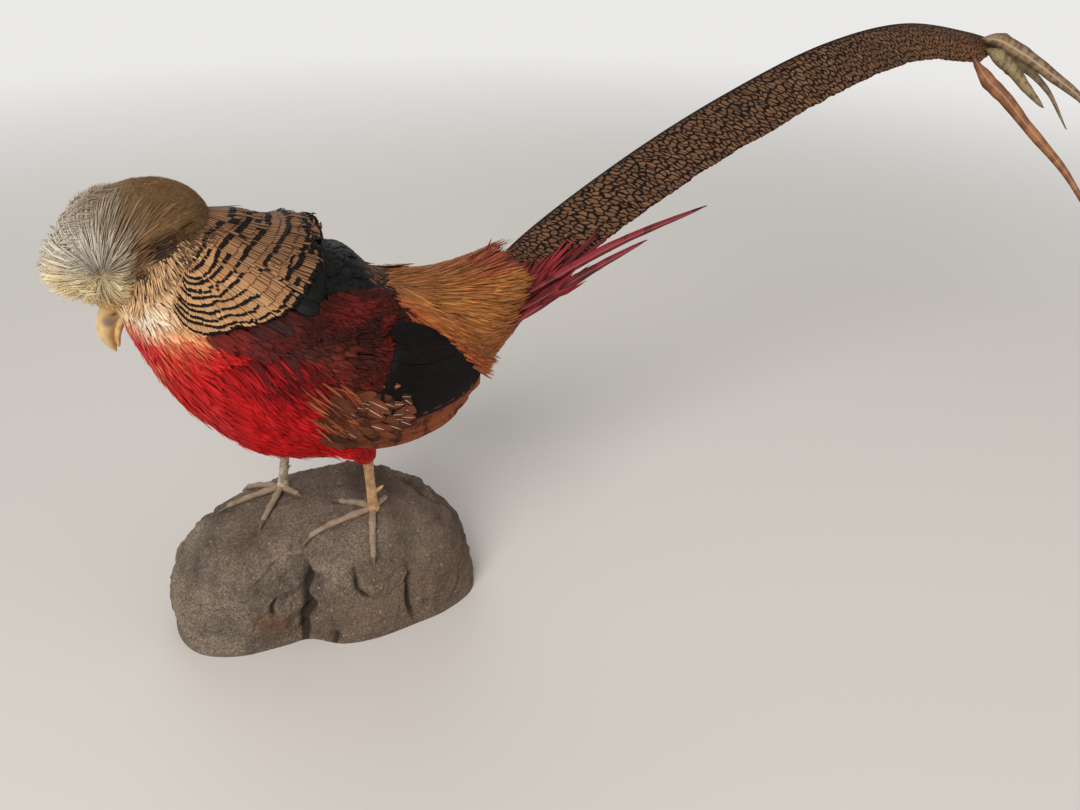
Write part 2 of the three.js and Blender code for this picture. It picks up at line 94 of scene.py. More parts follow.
def scaled(tree, value, factor, offset):
    """A value times a factor, plus an offset."""
    return calc(tree, "MULTIPLY_ADD", value, factor, offset)


def mix(tree, share, first, second):
    """A colour a share of the way from the first to the second."""
    return node(tree, "Mix", {0: share, 6: first, 7: second}, data_type="RGBA").outputs[2]


def layers(tree, base, *coats):
    """A base colour with others laid over it in turn, each given as its share and its colour."""
    for share, colour in coats:
        base = mix(tree, share, base, colour)
    return base


def ramp(tree, value, *stops):
    """A value carried through a ramp of (place, grey level) stops."""
    made = node(tree, "ValToRGB", {0: value})
    for element, (place, level) in zip(made.color_ramp.elements, stops):
        element.position = place
        element.color = (level, level, level, 1)
    return made.outputs[0]


def own_place(tree):
    """The piece's own coordinates."""
    return node(tree, "TexCoord").outputs["Object"]


def clouds(tree, scale, detail=2.0, roughness=0.5, place=None):
    """Smooth noise over the piece's own coordinates, or over another vector."""
    place = own_place(tree) if place is None else place
    inputs = {"Vector": place, "Scale": scale, "Detail": detail, "Roughness": roughness}
    return node(tree, "TexNoise", inputs).outputs[0]


def cells(tree, scale, **settings):
    """The outputs of a pattern of random cells over the piece's own coordinates."""
    return node(tree, "TexVoronoi", {"Vector": own_place(tree), "Scale": scale}, **settings).outputs


def finish(name, build, **sockets):
    """A material whose build function returns its colour, roughness, and bump height and depth."""
    material = bpy.data.materials.new(name)
    material.use_nodes = True
    tree = material.node_tree
    shader = tree.nodes["Principled BSDF"]
    colour, roughness, height, depth = build(tree)
    for key, value in dict(sockets, Base_Color=colour, Roughness=roughness).items():
        feed(tree, shader.inputs[key.replace("_", " ")], value)
    if height is not None:
        bump = node(tree, "Bump", {"Strength": 1.0, "Distance": depth, "Height": height})
        feed(tree, shader.inputs["Normal"], bump.outputs[0])
    return material


def pale_floor(tree):
    """Matt paper, even apart from a faint mottle, that fades far off into the sky."""
    speckle = node(tree, "TexNoise", {"Scale": 6.0}).outputs[0]
    far = node(tree, "VectorMath", {0: own_place(tree)}, operation="LENGTH").outputs["Value"]
    fade = {"Value": far, 1: 0.7, 2: 2.4, 3: 1.0, 4: 0.0}
    solid = node(tree, "MapRange", fade, interpolation_type="SMOOTHSTEP").outputs[0]
    feed(tree, tree.nodes["Principled BSDF"].inputs["Alpha"], solid)
    return mix(tree, speckle, linear(208, 204, 199), linear(212, 208, 203)), 0.9, None, 0


floor_mesh = bpy.data.meshes.new("floor")
floor_mesh.from_pydata([(-6, -6, 0), (6, -6, 0), (6, 6, 0), (-6, 6, 0)], [], [(0, 1, 2, 3)])
floor = bpy.data.objects.new("floor", floor_mesh)
floor.data.materials.append(finish("pale floor", pale_floor))
bpy.context.collection.objects.link(floor)
floor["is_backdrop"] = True


def lamp(name, place, aim, size, power, colour):
    """A square area lamp at a place, aimed at a point."""
    data = bpy.data.lights.new(name, "AREA")
    data.size, data.energy, data.color = size, power, colour
    made = bpy.data.objects.new(name, data)
    made.location = place
    made.rotation_euler = (Vector(aim) - Vector(place)).to_track_quat("-Z", "Y").to_euler()
    bpy.context.collection.objects.link(made)
    made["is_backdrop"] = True


lamp("window", (-0.9, -1.1, 1.5), (0.15, 0, 0.2), 1.1, 30, (1.0, 0.97, 0.93))
lamp("fill", (1.3, -0.9, 0.8), (0.1, 0, 0.2), 1.2, 5, (1.0, 0.96, 0.9))
lamp("back", (0.2, 1.6, 1.3), (0.1, 0, 0.2), 1.4, 9, (0.95, 0.97, 1.0))

sky = bpy.data.worlds.new("studio")
bpy.context.scene.world = sky
sky.use_nodes = True
sky_tree = sky.node_tree
sky_light = sky_tree.nodes["Background"]
seen = node(sky_tree, "LightPath").outputs["Is Camera Ray"]
feed(sky_tree, sky_light.inputs["Color"], (0.97, 0.96, 0.94, 1))
feed(sky_tree, sky_light.inputs["Strength"], scaled(sky_tree, seen, 0.45, 0.4))

CAMERA_PITCH, CAMERA_TURN = np.radians(33), np.radians(25)
CAMERA_PLACE = Vector((-0.0415, -0.4778, 0.4644))
LENS_MM, SENSOR_MM = 27.03, 36

camera_data = bpy.data.cameras.new("camera")
camera_data.lens, camera_data.sensor_width = LENS_MM, SENSOR_MM
camera_data.clip_start = 0.01
camera = bpy.data.objects.new("camera", camera_data)
camera.location = CAMERA_PLACE
camera.rotation_euler = (np.pi / 2 - CAMERA_PITCH, 0, -CAMERA_TURN)
bpy.context.collection.objects.link(camera)
bpy.context.scene.camera = camera
bpy.context.scene.view_settings.view_transform = "Standard"


# ---- The cast rock ----
# A lump of sandy cement, trowelled over a former by hand: steep, grooved and pitted in front, with
# a shallow round hollow in its top. It stands on its flat underside and carries both feet.

def unit(v):
    """Vectors scaled to length 1."""
    return v / np.maximum(np.linalg.norm(v, axis=-1, keepdims=True), 1e-9)


def ease(x, low, high):
    """A smooth step from 0 at low to 1 at high."""
    w = np.clip((x - low) / (high - low), 0, 1)
    return w * w * (3 - 2 * w)


def curve(points, closed=False):
    """
    A smooth curve through points as a function of t from 0 to 1: between two neighbours it is the
    cubic whose slopes come from the points on either side, by the root of the distance between them.
    Beyond its ends it runs straight on.
    """
    p = np.asarray(points, float)
    ends = (p[-1], p[:2]) if closed else (2 * p[0] - p[1], 2 * p[-1] - p[-2])
    p = np.vstack([ends[0], p, ends[1]])
    knots = np.maximum(np.linalg.norm(np.diff(p, axis=0), axis=1), 1e-4) ** 0.5

    def inside(t):
        s = t * (len(p) - 3)
        i = np.minimum(s.astype(int), len(p) - 4)
        w = (s - i)[..., None]
        a, b, c, d = (p[i + k] for k in range(4))
        ab, bc, cd = (knots[i + k][..., None] for k in range(3))
        leave = ((b - a) / ab - (c - a) / (ab + bc) + (c - b) / bc) * bc
        arrive = ((c - b) / bc - (d - b) / (bc + cd) + (d - c) / cd) * bc
        bend = -3 * b + 3 * c - 2 * leave - arrive
        return b + w * leave + w**2 * bend + w**3 * (2 * b - 2 * c + leave + arrive)

    step = 1e-3
    slopes = [(inside(x + step) - inside(x)) / step for x in (np.array(0.0), np.array(1 - step))]

    def at(t):
        t = np.asarray(t, float)
        past = np.minimum(t, 0)[..., None] * slopes[0] + np.maximum(t - 1, 0)[..., None] * slopes[1]
        return inside(np.clip(t, 0, 1)) + past

    return at


def noise(points, size, seed=0):
    """
    Smooth noise from -1 to 1: random values on a cubic lattice with cells of that size, blended with
    eased weights between the eight corners of the cell that each point lies in.
    """
    lattice = np.random.default_rng(seed).uniform(-1, 1, (32, 32, 32))
    q = points / size
    cell = np.floor(q).astype(int)
    w = q - cell
    w = w * w * (3 - 2 * w)
    total = 0
    for corner in np.ndindex(2, 2, 2):
        i = (cell + corner) % 32
        share = np.prod(np.where(corner, w, 1 - w), axis=-1)
        total = total + lattice[i[..., 0], i[..., 1], i[..., 2]] * share
    return total


def new_piece(name, points, triangles, material, slot, replaced=(), uv=None, **attributes):
    """
    A mesh object on the bird's one body, from points in millimetres and triangles that are turned to
    face outwards. Attributes hold one number or one colour for each point, and uv one pair for each.
    """
    corners = points[triangles]
    volume = np.einsum("ij,ij->", corners[:, 0], np.cross(corners[:, 1], corners[:, 2]))
    if volume < 0:
        triangles = triangles[:, ::-1]
    mesh = bpy.data.meshes.new(name)
    mesh.vertices.add(len(points))
    mesh.vertices.foreach_set("co", (points * MM).astype(np.float32).ravel())
    mesh.loops.add(triangles.size)
    mesh.loops.foreach_set("vertex_index", triangles.astype(np.int32).ravel())
    mesh.polygons.add(len(triangles))
    mesh.polygons.foreach_set("loop_start", np.arange(0, triangles.size, 3, dtype=np.int32))
    mesh.polygons.foreach_set("use_smooth", np.ones(len(triangles), bool))
    mesh.update(calc_edges=True)
    for key, value in attributes.items():
        kind, field = ("FLOAT", "value") if np.ndim(value) == 1 else ("FLOAT_COLOR", "color")
        data = mesh.attributes.new(key, kind, "POINT").data
        data.foreach_set(field, np.asarray(value, np.float32).ravel())
    if uv is not None:
        layer = mesh.uv_layers.new(name="OFBake")
        layer.uv.foreach_set("vector", uv[triangles.ravel()].astype(np.float32).ravel())
    mesh.materials.append(material)
    made = bpy.data.objects.new(name, mesh)
    bpy.context.collection.objects.link(made)
    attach(made, "root")
    if replaced:
        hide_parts(*replaced)


ROCK_CENTRE = np.array([2.0, 3.0])
ROCK_HEIGHT = 92
rock_rim = curve(
    [
        (-109, 2), (-97, -23), (-72, -37), (-40, -41), (-24, -42), (-2, -57), (20, -62), (50, -61), (76, -58),
        (101, -46), (110, -22), (109, 8), (98, 36), (66, 58), (20, 72), (-30, 78), (-78, 68), (-105, 38),
    ],
    closed=True,
)
rim_offsets = rock_rim(np.linspace(0, 1, 1441)[:-1]) - ROCK_CENTRE
rim_offsets = rim_offsets[np.argsort(np.arctan2(rim_offsets[:, 1], rim_offsets[:, 0]))]
rim_angles = np.arctan2(rim_offsets[:, 1], rim_offsets[:, 0])
rim_reach = np.linalg.norm(rim_offsets, axis=1)


def rock_reach(angle):
    """How far the rim of the underside lies from the centre in a direction."""
    return np.interp(angle, rim_angles, rim_reach, period=2 * np.pi)


def rock_top(x, y, share):
    """
    The top's height: a crown that sinks to both sides of the left foot, flat with steep walls, less
    the hollow.
    """
    crown = ROCK_HEIGHT - 0.1 * np.abs(48 - x)
    hollow = 5 * np.exp(-((np.hypot(x - 30, y - 6) / 20) ** 4))
    return crown * np.sqrt(np.clip(1 - share**4.4, 0, 1)) - hollow


def rock_height(x, y):
    """The height of the top at (x, y)."""
    dx, dy = x - ROCK_CENTRE[0], y - ROCK_CENTRE[1]
    share = np.hypot(dx, dy) / rock_reach(np.arctan2(dy, dx))
    return rock_top(x, y, np.clip(share, 0, 1))


def groove(points, path, width, depth, inward=1.0):
    """
    How deep a groove is at each point: a bell curve across the nearest stretch of a wandering path,
    shallower to its ends. Distance across y counts by the inward share, so that a groove drawn on the
    front finds the steep face.
    """
    line = curve(path)(np.linspace(0, 1, 60))
    wander = np.stack([noise(points, 9, 11), 0 * points[:, 0], noise(points, 7, 12)], -1) * width
    gaps = np.linalg.norm((points[:, None] + wander[:, None] - line[None]) * [1, inward, 1], axis=2)
    nearest = np.argmin(gaps, axis=1) / 59
    fade = 0.25 + 0.75 * ease(nearest, 0, 0.3) * (1 - ease(nearest, 0.7, 1))
    return depth * fade * np.exp(-((gaps.min(axis=1) / width) ** 2))


def veins(points, size, width, seed):
    """Creases where smooth noise passes through zero: 1 in the middle of each, falling off as a bell."""
    return np.exp(-((noise(points, size, seed) / width) ** 2))


CRACKS = [  # path, width, depth and inward share
    ([(-27, -43, -14), (-24, -43, 16), (-20, -41, 42), (-17, -37, 68)], 2.6, 6.5, 0.3),
    ([(-42, -42, 24), (-43, -42, 36), (-38, -40, 46)], 2.0, 5.0, 0.3),
    ([(16, -57, 70), (13, -59, 54), (16, -61, 42), (26, -63, 34)], 2.0, 5.0, 0.3),
    ([(50, -60, -14), (50, -61, 26), (52, -61, 50), (50, -59, 78)], 1.9, 5.0, 0.3),
    ([(-22, -44, 66), (-16, -45, 74), (-9, -42, 80)], 2.0, 2.6),
    ([(-4, -58, 14), (-12, -56, -8)], 2.4, 4.5, 0.3),
    ([(-14, -50, 60), (-2, -55, 66), (8, -56, 73)], 1.6, 2.0),
]
HOLLOWS = [  # the same for broad hollows, and for swellings, which are hollows of less than no depth
    ([(-30, -43, -20), (-24, -42, 40), (-22, -37, 80)], 10, 7.0, 0.5),
    ([(104, -20, 88), (92, 44, 92)], 32, 9.5),
    ([(76, -60, 20), (70, -58, 62)], 9, 2.5),
    ([(-84, -30, 80), (-100, -10, 60), (-104, 20, 60)], 20, 5.0),
    ([(32, -62, 42), (28, -60, 56)], 9, -3.4),
    ([(-62, -38, 84), (-98, -18, 62)], 6, -1.8),
    ([(66, -58, 8), (66, -57, 64)], 8, -2.5),
    ([(-6, -50, 20), (-2, -50, 60)], 9, -3.0),
    ([(16, -57, 66), (13, -59, 50), (20, -62, 36)], 8, 3.0, 0.3),
    ([(50, -60, -10), (51, -61, 70)], 9, 3.5, 0.3),
    ([(-58, -38, 70), (-20, -44, 78)], 10, 2.5),
]
ROCK_TURNS, ROCK_RINGS = 420, 190
turns = np.linspace(-np.pi, np.pi, ROCK_TURNS, endpoint=False)
climb = 2 * np.linspace(0, 1, ROCK_RINGS)
shares = np.where(climb < 1, 1 - 0.1 * climb**2.2, 0.9 - 0.87 * np.maximum(climb - 1, 0) ** 1.1)
angle, share = np.meshgrid(turns, shares)
rock_x = ROCK_CENTRE[0] + np.cos(angle) * share * rock_reach(angle)
rock_y = ROCK_CENTRE[1] + np.sin(angle) * share * rock_reach(angle)
rock_points = np.stack([rock_x, rock_y, rock_top(rock_x, rock_y, share)], axis=-1)
around_it = np.roll(rock_points, -1, axis=1) - np.roll(rock_points, 1, axis=1)
rock_out = unit(np.cross(around_it, np.gradient(rock_points, axis=0))).reshape(-1, 3)
rock_points = rock_points.reshape(-1, 3)
x, y, z = rock_points.T
feet_clear = np.minimum(np.hypot(x - 38, y + 28), np.hypot(x + 16, y - 28))
calm = 0.35 + 0.65 * ease(feet_clear, 25, 60)  # the rock is smoother round the feet
relief = sum(
    depth * noise(rock_points, size, seed) * calm for depth, size, seed in ((3.2, 34, 1), (2.2, 13, 2), (1.1, 6, 6))
)
relief = relief - 2.0 * veins(rock_points, 26, 0.06, 8) * calm
relief = relief - veins(rock_points, 13, 0.07, 9) * calm * (noise(rock_points, 30, 10) > 0)
relief = relief - 1.8 * np.clip(noise(rock_points, 7, 3) - 0.2, 0, 1) * calm
relief = relief + 0.7 * noise(rock_points, 3.2, 4) + 0.4 * noise(rock_points, 1.6, 5)
ledge = 1.6 * np.exp(-(((np.hypot(x - 30, y - 6) - 24) / 3.2) ** 2)) * ease(z, 70, 84) * ease(x - y, 5, 30)
cracks = sum(groove(rock_points, *crack) for crack in CRACKS)
hollows = sum(groove(rock_points, *hollow) for hollow in HOLLOWS)
rust = 0.6 * np.exp(-((np.linalg.norm(rock_points - [-46, -42, 22], axis=1) / 13) ** 2))
# Painted shade inside the round hollow in the top, under the bird.
damp = 0.6 * np.exp(-((np.hypot(x - 44, y - 8) / 18) ** 6)) * (z > 60)
skirt = ease(z, 0.5, 6)  # the foot of the rock keeps the underside's rim
rock_points = rock_points + rock_out * ((relief + ledge - cracks - hollows) * skirt)[:, None]
rock_points[:, 2] = np.maximum(rock_points[:, 2], 0)
rock_points[:ROCK_TURNS, 2] = 0


def ring_faces(rings, sides):
    """Triangles between each ring of points and the next."""
    i, j = np.meshgrid(np.arange(rings - 1), np.arange(sides), indexing="ij")
    a, b = i * sides + j, i * sides + (j + 1) % sides
    halves = ([a, b, b + sides], [a, b + sides, a + sides])
    return np.concatenate([np.stack(half, -1).reshape(-1, 3) for half in halves])


def closed_tube(grid):
    """The points and triangles of a row of rings, with a point in the middle of each end."""
    rings, sides = grid.shape[:2]
    points = np.vstack([grid.reshape(-1, 3), grid[0].mean(0), grid[-1].mean(0)])
    j = np.arange(sides)
    k = (j + 1) % sides
    last, first_hub = (rings - 1) * sides, np.full(sides, rings * sides)
    caps = [np.stack([first_hub, k, j], -1), np.stack([first_hub + 1, last + j, last + k], -1)]
    return points, np.concatenate([ring_faces(rings, sides), *caps])


def capped(grid, first=0.0, last=0.0):
    """A value for each point of a closed tube: those of its rings, and one for each end."""
    return np.append(np.ravel(grid), [first, last])


def attribute(tree, name, output="Fac"):
    """The output of a point attribute."""
    return node(tree, "Attribute", attribute_name=name).outputs[output]


def cement(tree):
    """Sandy cement: broad grey and brown clouds, pale and dark grains, a rusty patch, and painted shade: dark brown in
    the deep grooves, dark in the hollow of the top, and the bird's shadow over the right end and the top.
    """
    grains = cells(tree, 900.0)
    chips = cells(tree, 230.0)
    axes = node(tree, "SeparateXYZ", {"Vector": own_place(tree)}).outputs
    fine = clouds(tree, 700.0, 4.0, 0.7)
    chip = times(
        tree, ramp(tree, chips["Distance"], (0.12, 0.8), (0.2, 0.0)),
        ramp(tree, chips["Color"], (0.7, 0.0), (0.75, 1.0)),
    )
    colour = layers(
        tree, linear(118, 104, 92),
        (ramp(tree, clouds(tree, 26.0, 6.0, 0.65), (0.38, 0.0), (0.62, 1.0)), linear(184, 164, 142)),
        (ramp(tree, clouds(tree, 9.0), (0.42, 0.0), (0.62, 0.6)), linear(136, 108, 86)),
        (ramp(tree, fine, (0.4, 0.7), (0.62, 0.0)), linear(68, 58, 50)),
        (ramp(tree, grains["Color"], (0.86, 0.0), (0.95, 0.5)), linear(200, 184, 160)),
        (chip, linear(196, 182, 158)),
        (ramp(tree, grains["Color"], (0.0, 0.6), (0.14, 0.0)), linear(48, 41, 36)),
        (attribute(tree, "rust"), linear(112, 66, 38)),
        # painted shade in the hollow of the top
        (attribute(tree, "damp"), linear(58, 47, 41)),
        # darker towards the right end and over the top: painted shadow of the bird
        (ramp(tree, axes["X"], (0.03, 0.0), (0.1, 0.45)), linear(84, 64, 50)),
        (ramp(tree, axes["Z"], (0.066, 0.0), (0.092, 0.35)), linear(84, 66, 56)),
        # darker in the deep grooves: painted shade
        (ramp(tree, attribute(tree, "groove"), (0.35, 0.0), (1.3, 0.85)), linear(50, 38, 30)),
    )
    rough = scaled(tree, clouds(tree, 210.0, 5.0, 0.7), 2.2, fine)
    return colour, 0.95, scaled(tree, grains["Distance"], -0.25, rough), 0.0018


GROOVE_UNIT = 3.2  # the depth of crack that the finish takes as 1
points, triangles = closed_tube(rock_points.reshape(ROCK_RINGS, ROCK_TURNS, 3))
new_piece(
    "rock", points, triangles, finish("sandy cement", cement), "rock", ["base_rock"],
    groove=capped(cracks / GROOVE_UNIT), rust=capped(rust), damp=capped(damp),
)


# ---- The bird's form ----
# The stuffed skin over its filling: body, head, folded wings and shanks as smooth ovals along curved
# paths. Every feather is laid over these forms, and the bare skin lies under the coat.

ACROSS = np.array([0.0, 1.0, 0.0])


def swell(t, start, end):
    """How full an oval is at t: it rounds off as a circle over a share of its length at each end."""
    rise = np.clip(1 - t / start, 0, 1) if start else 0 * t
    fall = np.clip(1 - (1 - t) / end, 0, 1) if end else 0 * t
    return np.sqrt(1 - rise**2) * np.sqrt(1 - fall**2)


def sweep(stations, start=0.0, end=0.0, across=ACROSS):
    """
    A surface of ovals along a path, as a function of t from 0 to 1, the turn from the top by the left
    side, and the lift off it. A station is x, y, z, half width, reach over and reach under.
    """
    stations = np.asarray(stations, float)
    path = curve(stations[:, :3])
    girth = curve(stations[:, 3:])

    def at(t, turn, lift=0.0):
        t, turn, lift = np.broadcast_arrays(np.asarray(t, float), turn, lift)
        along = unit(path(t + 2e-4) - path(t - 2e-4))
        side = unit(across - along * (along @ across)[..., None])
        over = np.cross(along, side)
        size = girth(t) * swell(np.clip(t, 0, 1), start, end)[..., None]
        reach = np.where(np.cos(turn) > 0, size[..., 1], size[..., 2]) + lift
        sideways = -np.sin(turn) * (size[..., 0] + lift)
        return path(t) + side * sideways[..., None] + over * (np.cos(turn) * reach)[..., None]

    return at


body = sweep(
    [(-66, 0, 268, 25, 62, 20), (-51, 0, 245, 38, 75, 31), (-28, 0, 221, 50, 81, 47), (4, 0, 203, 57, 80, 61),
     (40, 0, 196, 58, 77, 62), (75, 0, 198, 52, 62, 54), (108, 0, 211, 41, 38, 43), (138, 0, 229, 29, 19, 32),
     (164, 0, 246, 18, 9, 18)]
)
head = sweep(
    [(-90, 0, 263, 9, 9, 7), (-77, 0, 275, 17, 19, 14), (-62, 0, 286, 21, 24, 19), (-45, 0, 294, 20, 22, 18),
     (-30, 0, 296, 15, 16, 14)],
    0.14, 0.3,
)
wing = sweep(
    [(-24, -50, 218, 8, 14, 14), (-2, -56, 213, 11, 27, 26), (30, -57, 205, 12, 33, 34), (66, -55, 197, 11, 30, 32),
     (98, -49, 190, 8, 20, 18), (122, -42, 186, 2.5, 7, 7)],
    0.16, 0.06,
)
undertail = sweep(
    [(104, 0, 186, 26, 20, 16), (140, 0, 203, 24, 18, 14), (168, 0, 220, 14, 12, 9), (192, 0, 232, 4, 4, 4)], 0.2, 0.1
)
MOP_CENTRE = np.array([-62.0, 0.0, 296.0])
MOP = [((-70, 0, 289), (41, 29, 41)), ((-49, 0, 304), (25, 24, 24))]  # two ovals: centre and radii
# Directions from the mop's centre, on the left
CHEEK = unit(np.array([0.3, -0.8, -0.5]))  # where the face is bare of it
EAR_WAY = unit(np.array([0.45, -0.88, 0.1]))
BROW = unit(np.array([-0.75, -0.15, 0.62]))  # the crest slopes back here, and is cut short over the bill
CHIN = unit(np.array([-0.45, 0.0, -0.9]))
SCRUFF = unit(np.array([0.8, -0.62, 0.14]))  # where the cape comes up over it
DENTS = [  # direction, depth, and the cosines at which the dent begins and is full
    (CHEEK, 10, 0.72, 0.88), (EAR_WAY, 3.5, 0.93, 0.985), (BROW, 4, 0.5, 1.0), (CHIN, 9, 0.6, 0.97),
    (SCRUFF, 6, 0.95, 0.99),
]
mirror = np.array([1.0, -1.0, 1.0])


def on_left(places):
    """Places or directions, with those on the right moved to where they would be on the left."""
    return np.where(places[..., 1:2] > 0, places * mirror, places)


def mop(direction, lift=0.0):
    """
    The crest's outside in a direction from its centre: where the ray leaves each oval, softly the
    farther, less a wide dent over each cheek, small ones over each ear and behind it, and flats at brow
    and chin.
    """
    reach = []
    for centre, radii in MOP:
        d = direction / radii
        o = (MOP_CENTRE - centre) / np.array(radii)
        a = (d * d).sum(-1)
        b = d @ o
        reach.append((-b + np.sqrt(b * b - a * (o @ o - 1))) / a)
    left = on_left(direction)
    far = sum(r**10 for r in reach) ** 0.1 - sum(depth * ease(left @ way, *span) for way, depth, *span in DENTS)
    return MOP_CENTRE + direction * (far + lift)[..., None]


FEET = {"left": (38, -1, 1), "right": (-16, 1, 11)}  # x, side and how far the leg leans back to its hock
FEET_APART = 28


def shank(x, side, lean):
    """The feathered upper leg of a foot."""
    y = side * FEET_APART
    return sweep(
        [(x + lean - 12, y, 172, 16, 19, 19), (x + lean - 4, y, 149, 9, 11, 11), (x + lean, y, 131, 4.4, 5.4, 5.4)],
        0.3, 0.14,
    )


shanks = {name: shank(*foot) for name, foot in FEET.items()}
TURNS = np.linspace(0, 2 * np.pi, 65)[:-1]


def rings(surface, lift):
    """A closed tube of a surface's rings."""
    return closed_tube(surface(np.linspace(0.005, 0.995, 60)[:, None], TURNS[None, :], lift))


def joined(solids):
    """The points and triangles of several closed meshes as one."""
    starts = np.cumsum([0] + [len(p) for p, _ in solids[:-1]])
    return np.vstack([p for p, _ in solids]), np.vstack([f + s for (_, f), s in zip(solids, starts)])


def mesh_array(items, field, width, kind):
    """A field of a mesh's items as rows of an array."""
    values = np.empty(len(items) * width, kind)
    items.foreach_get(field, values)
    return values.reshape(-1, width)


VOXEL = 2.2 * MM
left_wing = rings(wing, -2.1)
height, turn = np.meshgrid(np.linspace(0.02, np.pi - 0.02, 40), TURNS, indexing="ij")
globe = np.stack([np.sin(height) * np.cos(turn), np.sin(height) * np.sin(turn), np.cos(height)], -1)
flesh = [rings(body, -3.0), rings(head, -1.6), left_wing, (left_wing[0] * mirror, left_wing[1][:, ::-1])]
flesh += [closed_tube(mop(globe, -5.0))] + [rings(shanks[name], -1.5) for name in FEET] + [rings(undertail, -3.5)]
for k, (p, f) in enumerate(flesh):
    if np.einsum("ij,ij->", p[f[:, 0]], np.cross(p[f[:, 1]], p[f[:, 2]])) <= 0:
        flesh[k] = p, f[:, ::-1]
points, triangles = joined(flesh)
rough_mesh = bpy.data.meshes.new("rough skin")
rough_mesh.from_pydata(points * MM, [], triangles.tolist())
rough = bpy.data.objects.new("rough_skin", rough_mesh)
bpy.context.collection.objects.link(rough)
remesh = rough.modifiers.new("one skin", "REMESH")
remesh.mode, remesh.voxel_size = "VOXEL", VOXEL
rough.modifiers.new("soften", "SMOOTH").iterations = 6
evaluated = rough.evaluated_get(bpy.context.evaluated_depsgraph_get()).to_mesh()
evaluated.calc_loop_triangles()
skin_points = mesh_array(evaluated.vertices, "co", 3, np.float32).astype(float) / MM
skin_triangles = mesh_array(evaluated.loop_triangles, "vertices", 3, np.int32)
bpy.data.objects.remove(rough)


# ---- Feathers ----
# Each is a thin closed vane or a hair-like lock. It lies along the form it grows on, its root sunk
# under its neighbours and its tip clear of them.

class Form:
    """
    One feather's points and triangles: at each share u of its length a ring, given as (share of the
    width, share of the thickness) pairs, is scaled to the width there, and flat ends close it.
    """

    def __init__(self, places, widths, ring):
        ring = np.asarray(ring, float)
        sides, rows = len(ring), len(places)
        self.u = np.repeat(places, sides)
        self.across = np.tile(ring[:, 0], rows)
        self.v = self.across * np.repeat(widths, sides)
        self.h = np.tile(ring[:, 1], rows) * np.repeat(np.minimum(1, 2 * np.asarray(widths)), sides)
        fan = np.array([(0, k + 1, k) for k in range(1, sides - 1)])
        self.triangles = np.vstack([ring_faces(rows, sides), fan, fan[:, ::-1] + (rows - 1) * sides])


BLADE = [(-1, 0), (0, 0.9), (1, 0)]
FLAT = [(-1, 0), (-0.62, 0.8), (0.62, 0.8), (1, 0)]
VANE = [(-1, 0), (-0.86, 0.6), (0, 1), (0.86, 0.6), (1, 0), (0, -0.3)]
STRAND = Form([0, 0.35, 0.7, 0.92, 1], [0.7, 1, 0.8, 0.4, 0.06], BLADE)
LONG_STRAND = Form([0, 0.25, 0.5, 0.75, 0.92, 1], [0.6, 0.95, 1, 0.7, 0.34, 0.05], BLADE)
LOCK = Form([0, 0.3, 0.6, 0.85, 1], [0.6, 1, 0.9, 0.5, 0.05], FLAT)
LONG_LOCK = Form([0, 0.2, 0.4, 0.6, 0.8, 0.93, 1], [0.4, 0.8, 1, 0.9, 0.62, 0.3, 0.03], FLAT)
TILE = Form([0, 0.3, 0.6, 0.85, 0.97, 1], [0.6, 0.9, 1, 1, 0.94, 0.8], VANE)
ROUND = Form([0, 0.25, 0.5, 0.7, 0.85, 0.95, 1], [0.4, 0.85, 1, 0.95, 0.75, 0.42, 0.12], VANE)
FLIGHT = Form(
    [0, 0.12, 0.25, 0.38, 0.5, 0.62, 0.74, 0.84, 0.92, 0.97, 1],
    [0.5, 0.8, 0.95, 1, 1, 0.98, 0.92, 0.8, 0.58, 0.36, 0.1], VANE,
)


def column(value):
    """A value for each feather as a column, so that it meets the feather's points across rows."""
    value = np.asarray(value, float)
    return value[:, None] if value.ndim == 1 else value


def pace(surface, first, second):
    """How many millimetres a unit of each of a surface's two measures covers at a place."""
    step = 1e-3
    here = surface(first, second, 0)
    ahead = surface(first + step, second, 0), surface(first, second + step, 0)
    sizes = [np.linalg.norm(there - here, axis=-1) / step for there in ahead]
    return [np.maximum(size, 0.25 * np.median(size)) for size in sizes]


def lay(surface, roots, heading, length, width, rise, form, thick=0.3, bow=0.0, power=1.3):
    """
    Feathers on a surface. Each point goes u of the length along the heading from its root and v of
    the half width to the side of it, all in the surface's own two measures, and rises from the root's
    lift to the tip's. Heading 0 is along the first measure; bow is how much it turns by the tip.
    """
    t, turn = roots
    per_t, per_turn = pace(surface, t, turn)
    middle = 0.6 * np.asarray(length)
    per_turn = pace(surface, t + middle * np.cos(heading) / per_t, turn + middle * np.sin(heading) / per_turn)[1]
    way = column(heading) + column(bow) * form.u
    along = form.u * column(length)
    side = form.v * column(width) / 2
    first = column(t) + (along * np.cos(way) - side * np.sin(way)) / column(per_t)
    second = column(turn) + (along * np.sin(way) + side * np.cos(way)) / column(per_turn)
    low, high = rise
    lift = column(low) + (column(high) - column(low)) * form.u**power + form.h * column(thick)
    return surface(first, second, lift)


def scatter(surface, count, first, second, seed):
    """Roots spread evenly over a stretch of a surface: a low-discrepancy sequence thinned by area."""
    rng = np.random.default_rng(seed)
    k = np.arange(6 * count)
    t = first[0] + (first[1] - first[0]) * ((0.5 + k * 0.7548776662) % 1)
    turn = second[0] + (second[1] - second[0]) * ((0.5 + k * 0.5698402910) % 1)
    step = 1e-3
    here = surface(t, turn, 0)
    area = np.linalg.norm(
        np.cross(surface(t + step, turn, 0) - here, surface(t, turn + step, 0) - here), axis=-1
    )
    kept = np.flatnonzero(rng.random(len(k)) < area / area.max())[:count]
    return t[kept], turn[kept]


